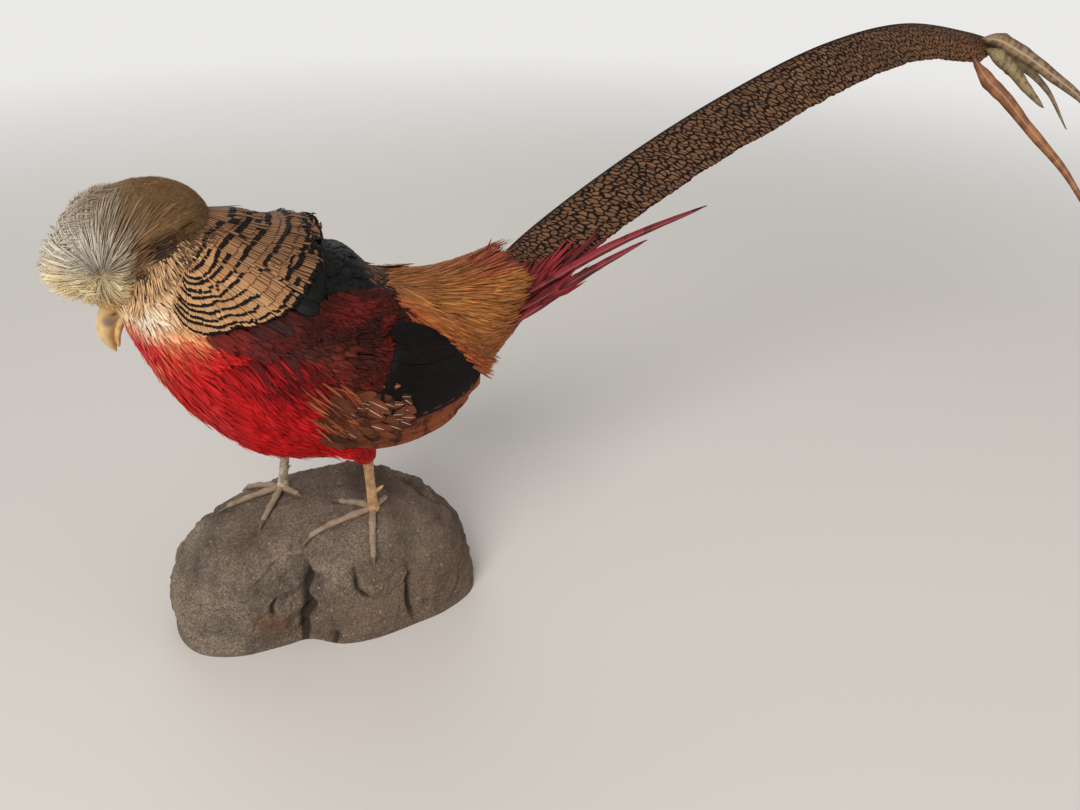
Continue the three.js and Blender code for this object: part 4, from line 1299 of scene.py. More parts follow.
def side_table():
    """
    How far the left flank stands out at each place along and up it: the farthest of body, wing and
    wing's edge, spread into the gaps and smoothed.
    """
    t, turn = np.meshgrid(np.linspace(0, 1, 400), np.linspace(0, np.pi, 300))
    samples = np.concatenate([form(t, turn).reshape(-1, 3) for form in (plume, wing, wing_edge)])
    shape = ((SIDE_HIGH - SIDE_LOW) / SIDE_STEP).astype(int) + 1
    place = ((samples[:, [0, 2]] - SIDE_LOW) / SIDE_STEP).round().astype(int)
    inside = np.all((place >= 0) & (place < shape), axis=1)
    table = np.zeros(shape)
    np.maximum.at(table, tuple(place[inside].T), -samples[inside, 1])
    level = np.where(table > 0, table, SIDE_GUESS)
    for _ in range(60):
        level = np.where(table > 0, table, around_sum(level) / 4)
    for _ in range(3):
        level = (around_sum(level) + 2 * level) / 6
    return level


SIDE = side_table()


def flank(x, z, lift=0.0):
    """The left flank's surface at a place along and up it, lifted square off it."""
    x, z, lift = np.broadcast_arrays(np.asarray(x, float), z, lift)

    def out(px, pz):
        return grid_value(SIDE, (px - SIDE_LOW[0]) / SIDE_STEP, (pz - SIDE_LOW[1]) / SIDE_STEP)

    depth = out(x, z)
    slope_x = (out(x + 2, z) - out(x - 2, z)) / 4
    slope_z = (out(x, z + 2) - out(x, z - 2)) / 4
    outward = unit(np.stack([-slope_x, -np.ones_like(depth), -slope_z], -1))
    return np.stack([x, -depth, z], -1) + outward * lift[..., None]


def on_flank(x, z):
    """A root's place on the unwrap of the left flank, which takes up half the sheet."""
    share = (np.stack([x, z], -1) - SIDE_LOW) / (SIDE_HIGH - SIDE_LOW)
    return 0.5 * share[:, 0], share[:, 1]


wings = Coat(41)
rng = wings.rng
WINE, BROWN, INK, RUFOUS = tone(92, 26, 22), tone(48, 22, 17), tone(15, 11, 12), tone(136, 72, 44)
QUILL, WHITE_SHAFT, PLAIN = 1.0, 2.0, 3.0  # the kinds that the finish tells apart

# Flight feathers, from the lowest primary up to the uppermost tertial: root, tip, width, bow and colour.
QUILLS = [
    ((22, 175), (84, 163), 11, 0.30, RUFOUS), ((24, 178), (94, 164), 12, 0.32, RUFOUS * 0.75),
    ((26, 181), (103, 170), 13, 0.32, RUFOUS * 1.05), ((28, 185), (109, 177), 14, 0.30, RUFOUS * 0.85),
    ((32, 189), (112, 183), 15, 0.26, RUFOUS * 0.6), ((36, 194), (114, 187), 16, 0.22, INK * 1.3),
    ((40, 199), (116, 191), 17, 0.18, INK * 1.1), ((44, 206), (117, 195), 19, 0.14, INK),
    ((48, 214), (116, 199), 21, 0.10, INK * 1.1), ((52, 221), (112, 203), 19, 0.05, INK),
    ((56, 228), (106, 207), 18, 0.0, INK * 1.1), ((58, 236), (97, 213), 16, 0.0, INK),
]
for k, (root, tip, wide, bow, colour) in enumerate(QUILLS):
    (x, z), step = np.array([root], float).T, np.subtract(tip, root)
    heading, rise = np.arctan2(step[1], step[0]) - bow / 2, ([0.4 + 0.3 * k], [0.8 + 0.14 * k])
    points = lay(flank, (x, z), [heading], [np.hypot(*step)], [wide], rise, FLIGHT, 0.7, [bow])
    wings.add(points, FLIGHT, colour, on_flank(x, z), QUILL, mirrored=True)

# Greater coverts: short brown feathers, some with a whitish shaft, in rows over a leaning patch of the
# flank, the rearmost row laid first.
a, b = (v.ravel() for v in np.meshgrid(np.linspace(1, 0, 11), np.linspace(0, 1, 7), indexing="ij"))
count = len(a)
x, z = 8 + 39 * a + 4 * b + rng.normal(0, 1.8, count), 186 + 26 * b + rng.normal(0, 1.8, count)
points = wings.grow(flank, (x, z), -0.5, 0.3, (14, 21), (4.5, 7), 1.4, (2.6, 4.4), ROUND, 0.22)
colour = dyed(tone(112, 62, 40), (rng.random(count), tone(54, 30, 22)))
kind = np.where(rng.random(count) < 0.4, WHITE_SHAFT, PLAIN)
wings.add(points, ROUND, colour, on_flank(x, z), kind, mirrored=True)

# Hair-like red feathers of the breast that sweep back over the front of the wing.
for amount, form, widths in ((900, LOCK, (1.6, 3.2)), (900, STRAND, (0.5, 0.9))):
    x, z = rng.uniform(-40, 22, amount), rng.uniform(166, 252, amount)
    kept = (x < 2 + 0.42 * np.abs(z - 206)) & (z < 244 + 0.25 * x)
    x, z = x[kept], z[kept]
    heading = -0.62 - 0.01 * (z - 206)
    points = wings.grow(flank, (x, z), heading, 0.1, (14, 23), widths, -0.6, (0.6, 1.8), form, 0.3)
    high = ease(z + 0.5 * x, 196, 232) + rng.normal(0, 0.2, len(x))
    colour = dyed(
        SCARLET, (rng.random(len(x)), DEEP), (0.9 * np.clip(high, 0, 1), MAROON),
        (3 * np.clip(high - 0.75, 0, 0.25), tone(64, 26, 24)),
    )
    wings.add(points, form, colour, on_flank(x, z), PLAIN, mirrored=True)

# Scapulars: soft overlapping feathers, maroon clouded with black, in an oval on the shoulder, and a
# smaller, greyer band of them under the edge of the cape that reddens into the breast.
SCAPULARS = 950
x, z = rng.uniform(-46, 78, 5200), rng.uniform(208, 276, 5200)
slant = np.array([(x - 36) * 0.96 - (z - 240) * 0.28, (x - 36) * 0.28 + (z - 240) * 0.96])
hem = np.interp(x, [-41, -19, -6, 6, 14, 24, 34], [249, 255, 259, 262, 267, 273, 285])
oval = np.hypot(slant[0] / 35, slant[1] / 23.5)
band = (x < 4) & (z > np.maximum(251 - 0.36 * (x + 42), 243) + rng.normal(0, 1.6, 5200)) & (x > -42)
inside = np.flatnonzero(((oval < 1) | band) & (z < hem + 3) & ((x < 56) | (z > 240)))[:SCAPULARS]
inside = inside[np.argsort(-x[inside] + 0.4 * z[inside] + rng.normal(0, 3, len(inside)))]
x, z, oval, hem = x[inside], z[inside], oval[inside], hem[inside]
front = 1 - ease(x, -14, 10)
puff = 2.4 * (1 - ease(oval, 0.5, 1.15)) * (1 - ease(z - hem, -12, 0))
small = 1 - 0.3 * front
count = len(x)
heading = rng.normal(-0.66, 0.14, count)
length, width = rng.uniform(14, 22, count) * small, rng.uniform(2.6, 5.2, count) * small
rise = rng.uniform(-0.8, 0.0, count), 0.4 + puff + rng.uniform(0.0, 0.6, count)
points = lay(flank, (x, z), heading, length, width, rise, LOCK, 0.2)
place = np.stack([x, 0 * x, z], -1)
cloud = noise(place + 40, 11, 44) + 0.5 * noise(place + 40, 4, 45)
rusty = 0.6 * np.exp(-((x - 8) ** 2 + (z - 236) ** 2) / 160)
colour = dyed(
    WINE, (np.clip(0.5 + cloud + rng.normal(0, 0.12, count), 0, 1), BROWN),
    (rusty * rng.random(count), tone(130, 60, 42)),
    (np.clip(front * (0.45 + 0.9 * noise(place, 7, 46)), 0, 1), tone(44, 36, 38)),
    (0.75 * (1 - ease(x + 0.5 * (z - 246) + rng.normal(0, 3, count), -30, -10)), tone(128, 40, 34)),
)
wings.add(points, LOCK, colour, on_flank(x, z), PLAIN, mirrored=True)

# Pale chestnut feathers of the flank that lap over the front of the wing.
x, z = rng.uniform(0, 22, 60), rng.uniform(196, 224, 60)
points = wings.grow(flank, (x, z), -0.85, 0.12, (14, 24), (0.9, 1.9), 0.6, (2.6, 4.6), LONG_LOCK, 0.25)
colour = dyed(tone(176, 98, 64), (rng.random(60), tone(104, 40, 28)))
wings.add(points, LONG_LOCK, colour, on_flank(x, z), PLAIN, mirrored=True)


def wing_vane(tree):
    """Wing feathers: a dark shaft, or a white one on some coverts, and black flecks on the quills."""
    kind = attribute(tree, "kind")
    white = times(
        tree, calc(tree, "COMPARE", kind, WHITE_SHAFT, 0.3),
        ramp(tree, attribute(tree, "along"), (0.3, 0.0), (0.5, 1.0)),
    )
    quill = calc(tree, "COMPARE", kind, QUILL, 0.3)
    shaft = ramp(tree, calc(tree, "ABSOLUTE", attribute(tree, "across")), (0.0, 1.0), (0.10, 0.0))
    flecks = times(tree, ramp(tree, clouds(tree, 160.0, 3.0), (0.5, 0.0), (0.62, 0.7)), quill)
    colour = layers(
        tree, plumage(tree), (flecks, linear(24, 16, 13)), (times(tree, shaft, white), linear(226, 206, 184)),
        (times(tree, times(tree, shaft, quill), 0.6), linear(28, 18, 14)),
    )
    return barbed(tree, colour, (0.3, 0.3, 0.08, 0.5), 0.6)


WING_FINISH = finish("wing vanes", wing_vane, Specular_IOR_Level=0.1)
wings.build("wing_feathers", WING_FINISH, "wing_feathers", ["primaries_left", "primaries_right"])


# ---- Rump ----
# Long golden hair-like feathers run back from the mantle and down over the hind edge of the wings,
# and end in a loose fan, tipped orange-red, round the root of the tail.

saddle = even(plume, lambda turn: 0.52 + 0.02 * np.abs(turn), lambda turn: 1.0 - 0.02 * np.abs(turn), (-2.6, 2.6))
GOLD, BRONZE, FLAME = tone(186, 122, 58), tone(132, 74, 34), tone(172, 70, 32)
rump = Coat(51)
rng = rump.rng
for amount, seed, form, widths, thick in (
    (2300, 52, LONG_LOCK, (1.1, 2.4), 0.3), (2700, 53, LONG_STRAND, (0.45, 0.85), 0.25),
):
    a, turn = scatter(saddle, amount, (-0.06, 0.9), (-2.4, 2.4), seed)
    wide = np.abs(turn)
    hem = np.interp(wide, [0, 0.7, 1.1, 1.5, 1.9, 2.3], [-0.1, -0.02, 0.08, 0.27, 0.45, 0.62])
    kept = (a > hem + rng.normal(0, 0.02, len(a))) & (a < 0.82 + 0.08 * ease(wide, 0.3, 1.0))
    a, turn, wide = a[kept], turn[kept], wide[kept]
    count = len(a)
    spread = np.interp(wide, [0, 0.4, 0.9, 1.5, 2.4], [0.0, 0.5, 0.86, 0.8, 0.45]) * (1 - 0.35 * ease(a, 0.45, 0.85))
    heading = np.sign(turn) * spread + 0.12 * noise(np.stack([a * 5, turn * 2, 0 * a], -1), 1.0, 54)
    heading = heading + rng.normal(0, 0.035, count)
    length, width, rise = rng.uniform(20, 32, count), rng.uniform(*widths, count), rng.uniform(0.2, 0.9, count)
    rise = rise + ease(a, 0.35, 0.8) * rng.uniform(0.5, 4.0, count) * ease(wide, 0.3, 1.2)
    points = lay(saddle, (a, turn), heading, length, width, (-1.5, rise), form, thick, power=1.6)
    colour = dyed(
        GOLD, (np.clip(rng.normal(0.35, 0.25, count) + 0.3 * (1 - ease(wide, 0, 0.5)), 0, 1), BRONZE),
        (0.8 * ease(wide, 1.2, 2.1) * rng.uniform(0, 1, count), FLAME),
    )
    crimson = ease(a + rng.normal(0, 0.03, count), 0.56, 0.72) * (1 - ease(wide, 0.35, 0.75))
    colour = dyed(colour, (crimson * rng.uniform(0.5, 1, count), tone(150, 54, 48)))
    rump.add(points, form, colour, on_body(np.clip(a * 0.48 + 0.52, 0, 1), turn))

# The lowest of them hang over the folded wing, along a slanting line, with redder and darker tips.
for amount, form, widths in ((300, LONG_LOCK, (1.1, 2.2)), (360, LONG_STRAND, (0.45, 0.85))):
    u, off = rng.uniform(0.3, 1.0, amount), rng.uniform(-1, 11, amount)
    x, z = 50 + 58 * u + 0.68 * off, 264 - 60 * u + 0.73 * off
    lift = 0.6 + 4.0 * ease(u, 0.2, 0.7)
    points = rump.grow(flank, (x, z), -0.74, 0.06, (18, 30), widths, 0.0, (0, 0.8), form, lift=lift)
    colour = dyed(
        GOLD, (rng.random(amount), BRONZE), (ease(-off, -7, 0) * rng.random(amount), tone(206, 84, 36)),
        (0.7 * (off < 1.5) * rng.random(amount), tone(70, 34, 20)),
    )
    rump.add(points, form, colour, on_flank(x, z), mirrored=True)


def golden(tree):
    """Golden strands that redden towards their tips."""
    tip = times(tree, ramp(tree, attribute(tree, "along"), (0.7, 0.0), (1.0, 0.6)), attribute(tree, "tint"))
    return barbed(tree, mix(tree, tip, plumage(tree), linear(190, 92, 42)), (0.25, 0.35, 0.05, 0.6), 0.55, 0.0002)


GOLDEN = finish("golden strands", golden, Sheen_Weight=0.05, Specular_IOR_Level=0.25)
rump.build("rump_feathers", GOLDEN, "rump_feathers")


# ---- Tail ----
# Two very long vaulted central feathers marbled in black and cinnamon lie back to back over two
# shorter pairs. Their ends are frayed into separate strands, and scarlet coverts stand out beside
# their roots.

TAIL_SLOPE = np.radians(52)
TAIL_WIDTH = 39
RIDGE_GAP = 0.04
tail_ridge = curve(
    [(134, 0, 236), (166, 0, 262), (244, 0, 306), (321, 0, 340), (403, 0, 367), (475, 0, 376), (545, 0, 366),
     (592, 0, 354)]
)
TAIL_LENGTH = np.linalg.norm(np.diff(tail_ridge(np.linspace(0, 1, 400)), axis=0), axis=1).sum()


def heading_of(path, s):
    """The way a path runs at s."""
    return unit(path(np.clip(s + 1e-3, 0, 1)) - path(np.clip(s - 1e-3, 0, 1)))


def tail_width(s):
    """The width of one half of the vault along it: it spreads from the root, then narrows to the tip."""
    return TAIL_WIDTH * (0.8 + 0.2 * ease(s, 0, 0.16)) * (1 - 0.34 * ease(s, 0.45, 0.9)) * (1 - 0.72 * ease(s, 0.87, 1))


def tail_point(s, w, depth, side, width):
    """A point under the ridge at s, a share w of the way down the slope, and depth in from its face."""
    up = np.cross(heading_of(tail_ridge, s), ACROSS)
    inner = depth * np.tan(TAIL_SLOPE)
    out = inner + (width - inner) * w
    sideways = side * (RIDGE_GAP + out * np.cos(TAIL_SLOPE) - depth * np.sin(TAIL_SLOPE))
    drop = -out * np.sin(TAIL_SLOPE) - depth * np.cos(TAIL_SLOPE)
    return tail_ridge(s) + ACROSS * sideways[..., None] + up * drop[..., None]


def tail_vane(side, depth, reach, share, rows, columns, seed):
    """
    Half of the vaulted tail as a thin closed sheet. Its lower edge is cut by the ends of its barbs,
    and it thins from the shaft out. Gives points, triangles, and place along, down and through it.
    """
    s = np.linspace(0, 1, rows)[:, None]
    w = np.linspace(0, 1, columns)[None, :]
    nick = np.repeat(np.random.default_rng(seed).uniform(-1, 1, rows // 2 + 1), 2)[:rows, None]
    width = (tail_width(s * reach) - depth) * share * np.sqrt(1 - 0.7 * ease(s, 0.85, 1)) * (1 + 0.009 * nick)
    width = width + 0.5 * noise(np.stack([s * 90, 0 * s, 0 * s], -1), 1.0, seed)
    camber = 1.6 * np.sin(np.pi * w) * (1 - 0.5 * s)
    ripple = 0.16 * np.sin(s * TAIL_LENGTH * reach * 0.9 + w * 7) * ease(w, 0.1, 0.5)
    face = depth - camber + ripple
    upper, lower = (tail_point(s * reach + 0 * w, w + 0 * s, d, side, width) for d in (face, face + 1.8 - 1.1 * w))
    points, triangles = closed_tube(np.concatenate([upper, lower[:, ::-1]], axis=1))
    down = np.tile(np.concatenate([w[0], w[0, ::-1]]), rows)
    under = np.tile(np.repeat([0.0, 1.0], columns), rows)
    return points, triangles, capped(np.repeat(s, 2 * columns), 0, 1), capped(down, 0.5, 0.5), capped(under, 0, 1)


def marbled(tree):
    """
    Cinnamon vanes netted in black: small slanting cells with dark walls, which run together along the
    shaft at the ridge and open into slanting bars towards the edge. The dark line along the ridge is
    partly the shaft and partly painted shade in the crease between the two halves.
    """
    along, down = attribute(tree, "tail_along"), attribute(tree, "tail_down")
    place = node(tree, "CombineXYZ", {0: scaled(tree, down, -0.5, along), 1: times(tree, down, 0.52)}).outputs[0]
    warp = node(tree, "TexNoise", {"Vector": place, "Scale": 260.0, "Detail": 2.0}).outputs["Color"]
    warp = node(tree, "VectorMath", {0: warp, 1: (0.5, 0.5, 0.5)}, operation="SUBTRACT").outputs[0]
    warp = node(tree, "VectorMath", {0: warp, "Scale": 0.0032}, operation="SCALE").outputs[0]
    place = node(tree, "VectorMath", {0: place, 1: warp}, operation="ADD").outputs[0]
    net = {"Vector": place, "Scale": 390.0, "Randomness": 0.9}
    walls = node(tree, "TexVoronoi", net, voronoi_dimensions="2D", feature="DISTANCE_TO_EDGE").outputs["Distance"]
    cell = node(tree, "TexVoronoi", net, voronoi_dimensions="2D").outputs["Color"]
    fray = calc(tree, "SUBTRACT", clouds(tree, 520.0, place=place), 0.5)
    late = times(tree, ramp(tree, along, (0.34, 0.0), (0.45, 1.0)), ramp(tree, down, (0.006, 0.0), (0.02, 0.7)))
    barbs = calc(tree, "SINE", times(tree, scaled(tree, down, -1.3, along), 9000.0))
    colour = layers(
        tree, linear(148, 108, 78), (cell, linear(112, 78, 54)),
        (ramp(tree, clouds(tree, 40.0, place=place), (0.4, 0.0), (0.7, 0.5)), linear(100, 74, 56)),
        (late, linear(176, 116, 66)),
        (ramp(tree, scaled(tree, fray, 0.42, walls), (0.12, 1.0), (0.20, 0.0)), linear(22, 15, 12)),
        # a dark line along the ridge: the shaft, and painted shade in the crease between the halves
        (ramp(tree, down, (0.0009, 1.0), (0.0022, 0.0)), linear(36, 27, 24)),
        (scaled(tree, barbs, 0.05, 0.05), linear(16, 10, 8)),
        (times(tree, attribute(tree, "tail_under"), 0.45), linear(74, 54, 42)),
    )
    return colour, 0.55, barbs, 0.0001


MARBLED = finish("marbled vanes", marbled, Specular_IOR_Level=0.15)
TAIL_LAYERS = {  # depth under the face, share of the length and of the width, rows and columns
    "central": (0.5, 1.0, 1.0, 620, 15), "inner": (3.4, 0.66, 0.96, 240, 8), "outer": (6.2, 0.42, 0.92, 160, 8),
}
for layer, sizes in TAIL_LAYERS.items():
    for name, side in (("left", -1), ("right", 1)):
        points, triangles, along, down, under = tail_vane(side, *sizes, 61 + side)
        new_piece(
            f"tail_{layer}_vane_{name}", points, triangles, MARBLED, "tail_feathers", [f"tail_{layer}_{name}"],
            np.stack([0.01 + 0.98 * along, 0.01 + 0.47 * down + 0.5 * under], -1),
            tail_along=along * TAIL_LENGTH * sizes[1] * MM, tail_down=down * TAIL_WIDTH * MM, tail_under=under,
        )

# Free feathers: the corners of one's section, as shares of its thickness and height, and its two edges
BLADE_SECTION = np.array([(0, 1), (1, 0.35), (1.3, 0), (1, -0.35), (0, -1), (-1, -0.35), (-1.3, 0), (-1, 0.35)])
LOWER_EDGE = np.array([0, 0, 0, 1, 1, 1, 0, 0])
BLADE_THICK, RAGGED = 1.4, 0.1


def blade(name, route, half, seed, material, slot, replaced, rows=90):
    """
    A free feather standing on edge along a path: an oval thin across and tall above and below its
    shaft, tapering to its tip, each edge nicked where barbs have parted.
    """
    path = curve(route)
    s = np.linspace(0, 1, rows)
    along = heading_of(path, s)
    side = unit(ACROSS - along * (along @ ACROSS)[:, None])
    over = np.cross(along, side)
    ends = np.sqrt(np.clip(s / 0.06, 0.05, 1)) * np.sqrt(np.clip((1 - s) / 0.05, 0.02, 1))
    tall = half * (0.35 + 0.65 * ease(s, 0, 0.25)) * (1 - 0.8 * s**3) * ends
    knots = np.random.default_rng(seed).uniform(-1, 0.5, (rows // 5 + 2, 2))
    nick = np.stack([np.interp(s * rows / 5, np.arange(len(knots)), own) for own in knots.T], -1)
    reach = BLADE_SECTION[:, 1] * tall[:, None] * (1 + RAGGED * nick[:, LOWER_EDGE])
    out = side[:, None] * (BLADE_SECTION[:, :1] * BLADE_THICK / 2)
    ring = path(s)[:, None] + out + over[:, None] * reach[..., None]
    points, triangles = closed_tube(ring)
    along, across = capped(np.repeat(s, 8), 0, 1), capped(np.tile(BLADE_SECTION[:, 1], rows))
    uv = np.stack([0.01 + 0.98 * along, 0.5 + 0.48 * across], -1)
    new_piece(name, points, triangles, material, slot, [replaced], uv, along=along, across=across)


def frayed(first, second, scale, pale):
    """A build for a frayed strand: one colour blotched with another, and a pale bare shaft."""

    def build(tree):
        along, across = attribute(tree, "along"), calc(tree, "ABSOLUTE", attribute(tree, "across"))
        barb = calc(tree, "SINE", scaled(tree, across, -25.0, times(tree, along, 900.0)))
        colour = layers(
            tree, linear(*first), (ramp(tree, clouds(tree, scale, 3.0), (0.45, 0.0), (0.58, 1.0)), linear(*second)),
            (ramp(tree, across, (0.05, pale), (0.2, 0.0)), linear(206, 184, 150)),
            (scaled(tree, barb, 0.08, 0.08), linear(40, 26, 18)),
        )
        return colour, 0.5, barb, 0.0001

    return build


TIPS = {  # path, half height, and the look: two colours, the scale of the blotches, how bare the shaft is
    "upper": (
        [(548, -12, 362), (570, -9, 359), (592, -6, 352), (620, -5, 341), (653, -5, 326), (702, -4, 303),
         (754, -4, 272)],
        6.5, ((170, 136, 100), (118, 88, 62), 120.0, 0.9),
    ),
    "middle": (
        [(556, -12, 354), (576, -10, 346), (597, -9, 335), (621, -9, 319), (652, -8, 300)],
        6.0, ((172, 150, 102), (124, 100, 62), 160.0, 0.3),
    ),
    "thin": (
        [(580, 4, 350), (610, 4, 339), (637, 4, 328), (668, 4, 310), (711, 4, 273)],
        3.6, ((176, 150, 112), (138, 108, 76), 140.0, 0.9),
    ),
    "hanging": (
        [(540, -14, 350), (561, -14, 333), (590, -13, 316), (626, -12, 292), (708, -12, 237), (787, -12, 173)],
        6.0, ((190, 122, 66), (146, 84, 44), 60.0, 0.5),
    ),
}
for k, (name, (route, half, look)) in enumerate(TIPS.items()):
    material = finish(f"frayed {name} strand", frayed(*look))
    blade(f"tail_strand_{name}", route, half, 70 + k, material, "tail_feathers", f"tail_tip_{name}")

COVERTS = [
    [(158, -27, 232), (220, -29, 256), (298, -26, 272)],
    [(152, -29, 222), (200, -30, 240), (250, -27, 255)],
    [(148, -27, 212), (190, -27, 232), (232, -24, 248)],
]
SPIKE = finish("scarlet spikes", frayed((150, 44, 58), (100, 26, 36), 90.0, 0.25), Specular_IOR_Level=0.2)
for k, route in enumerate(COVERTS):
    for name, flip in (("left", 1), ("right", mirror)):
        own = np.array(route, float) * flip
        blade(f"scarlet_covert_{k + 1}_{name}", own, 3.8, 80 + k, SPIKE, "covert_feathers", f"covert_{k + 1}_{name}")


def vault(s, w, lift=0.0):
    """The outside of the tail's left half: s along its ridge and w down its slope."""
    s, w, lift = np.broadcast_arrays(np.asarray(s, float), w, lift)
    return tail_point(s, w, -lift, -1, tail_width(np.clip(s, 0, 1)))


# A collar of crimson feathers round the tail's root: on both sides of it, on the far side alone, and
# over the ridge.
collar = Coat(95)
rng = collar.rng
s, w = rng.uniform(-0.05, 0.045, 260), rng.uniform(0.2, 1.2, 260)
heading = rng.normal(-0.1, 0.12, 260)
length, width = rng.uniform(26, 50, 260) * (0.45 + 0.65 * ease(w, 0.5, 1.0)), rng.uniform(2.0, 4.5, 260)
rise = rng.uniform(-1, 1.5, 260), rng.uniform(0.8, 7.0, 260) * ease(w, 0.4, 1.0)
points = lay(vault, (s, w), heading, length, width, rise, LONG_LOCK, 0.35)
colour = dyed(tone(146, 38, 44), (rng.random(260), tone(74, 22, 24)))
collar.add(points, LONG_LOCK, colour, on_body(0.9 + 0 * w, 0.6 * w), mirrored=True)
# On the far side alone: a lighter crimson than the rest, painted light to make up for the shade they stand in.
s, w = rng.uniform(-0.12, -0.03, 64), rng.uniform(0.15, 0.8, 64)
points = collar.grow(vault, (s, w), -0.03, 0.05, (28, 42), (2.5, 5), (1, 5), (5, 11), LONG_LOCK, 0.4)
colour = dyed(tone(160, 50, 48), (rng.random(64), tone(112, 36, 36)))
collar.add(points * mirror, LONG_LOCK, colour, on_body(0.9 + 0 * w, 0.6 * w))
s, w = rng.uniform(-0.13, -0.01, 170), rng.uniform(0.0, 0.5, 170)
points = collar.grow(vault, (s, w), 0.05, 0.12, (20, 34), (2.0, 4.0), (0.2, 2.5), (0.8, 4.0), LONG_LOCK)
colour = dyed(tone(158, 54, 50), (rng.random(170), tone(112, 44, 34)))
collar.add(points, LONG_LOCK, colour, on_body(0.9 + 0 * w, 0.6 * w), mirrored=True)
collar.build("scarlet_collar", SOFT, "covert_feathers")

under = Coat(91)
t, turn = scatter(undertail, 1500, (0.0, 0.96), (-np.pi, np.pi), 92)
points = under.grow(undertail, (t, turn), 0, 0.16, (12, 20), (1.6, 3.2), -1.5, (0.2, 1.2), STRAND, 0.4)
colour = dyed(tone(40, 22, 20), (under.rng.random(len(t)), tone(74, 26, 24)))
under.add(points, STRAND, colour, on_body(t, turn))
under.build("undertail_feathers", SOFT, "undertail_feathers")


# ---- Legs and feet ----
# Bare scaled legs with a short spur behind, and toes that follow the rock, greyed by its dust. Dark
# claws end the toes.

TOE_RADIUS, TARSUS_RADIUS, CLAW_SHARE, FOOT_GAP = 2.5, 3.5, 0.8, 0.2


def over_rock(x, y, heading, length, lift):
    """
    A route from a foot's hub over the rock in a compass heading: places at even lengths along it,
    each raised square to the route by lift, a function of the share of the way.
    """
    r = np.arange(0, length + 1, 0.5)
    x, y = x - np.cos(heading) * r, y - np.sin(heading) * r
    ground = np.stack([x, y, rock_height(x, y)], -1)
    gone = np.concatenate([[0], np.cumsum(np.linalg.norm(np.diff(ground, axis=0), axis=1))])
    share = np.linspace(0, 1, 25)
    trail = np.stack([np.interp(share * length, gone, axis) for axis in ground.T], -1)
    along = unit(np.gradient(trail, axis=0))
    out = np.cross(np.cross(along, [0.0, 0.0, 1.0]), along)
    return trail + unit(out) * lift(share)[:, None]


def toe_radius(share):
    """A toe's radius: it tapers, with three swollen joints."""
    return TOE_RADIUS * (1 - 0.4 * share) * (1 + 0.1 * np.cos(share * 8 * np.pi))


def claw_radius(share):
    """The radius of a claw, which tapers to its point."""
    return np.interp(share, [CLAW_SHARE, 1], [TOE_RADIUS * 0.6, 0.4])


def scuted(surface, pitch, length, depth, rows, sides):
    """
    The points and triangles of a limb with overlapping scutes over its front, a saw tooth along it,
    faded to its back, and how near each point is to the seam behind its scute.
    """
    t = np.linspace(0.002, 0.998, rows)[:, None]
    turn = np.linspace(0, 2 * np.pi, sides, endpoint=False)[None, :]
    tooth = ((t * length / pitch + 0.15 * np.cos(3 * turn)) % 1) ** 2
    front = ease(np.cos(turn), -0.4, 0.3)
    lift = depth * (1 - tooth) * front * ease(t, 0, 0.04) * (1 - ease(t, 0.96, 1))
    return *closed_tube(surface(t, turn, lift)), capped(tooth * front)


def leg_skin(base, dust):
    """A build for scaled skin: a colour mottled darker, dark seams between scutes, and grey dust."""

    def build(tree):
        cloud = clouds(tree, 170.0, 4.0)
        scales = cells(tree, 700.0, feature="DISTANCE_TO_EDGE")["Distance"]
        colour = layers(
            tree, linear(*base), (ramp(tree, cloud, (0.4, 0.0), (0.64, 0.7)), linear(112, 82, 54)),
            (ramp(tree, attribute(tree, "seam"), (0.55, 0.0), (0.95, 0.6)), linear(58, 44, 32)),
            (ramp(tree, scales, (0.0, 0.35), (0.12, 0.0)), linear(70, 54, 40)),
            (times(tree, ramp(tree, cloud, (0.3, 1.0), (0.7, 0.55)), dust), linear(142, 128, 114)),
        )
        return colour, 0.55 + 0.3 * dust, scales, 0.00025

    return build


TARSUS_SKIN = {
    "left": finish("ochre leg", leg_skin((222, 172, 118), 0.12), Specular_IOR_Level=0.5),
    "right": finish("grey green leg", leg_skin((222, 212, 184), 0.2), Specular_IOR_Level=0.5),
}
TOE_SKIN = finish("dusty toe", leg_skin((184, 156, 126), 0.7), Specular_IOR_Level=0.3)


def claw_horn(tree):
    """Dark brown horn, greyer where dust clings."""
    cloud = clouds(tree, 260.0, 3.0)
    return mix(tree, cloud, linear(88, 66, 50), linear(124, 106, 88)), 0.5, cloud, 0.0001


CLAW = finish("claw horn", claw_horn)
TOES = {  # heading in degrees from straight ahead towards the bird's left, and length
    "left": {"middle": (2, 58), "outer": (70, 42), "inner": (-48, 36), "hind": (-150, 16)},
    "right": {"middle": (-6, 50), "outer": (-46, 42), "inner": (58, 44), "hind": (122, 22)},
}
DIGIT_PARTS = [  # radius, first and last share of the digit, rows, scute depth, how blunt the end is, looks
    ("toe", toe_radius, 0.02, CLAW_SHARE + 0.01, 130, 0.28, 0.1, TOE_SKIN, "leg_skin"),
    ("claw", claw_radius, CLAW_SHARE - 0.02, 1.0, 30, 0, 0.15, CLAW, "claw"),
]
TARSUS = [  # share of the lean, height, and shares of the radius across and along, from the foot up
    (0, 0, 1.1, 1.3), (0.2, 10, 0.8, 0.95), (0.54, 26, 0.77, 0.9), (1, 50, 0.94, 1.1),
]
SPUR = [(1, 17, 2), (5, 17, 1.6), (9.5, 19.5, 0.5)]  # distance back, height, and radius
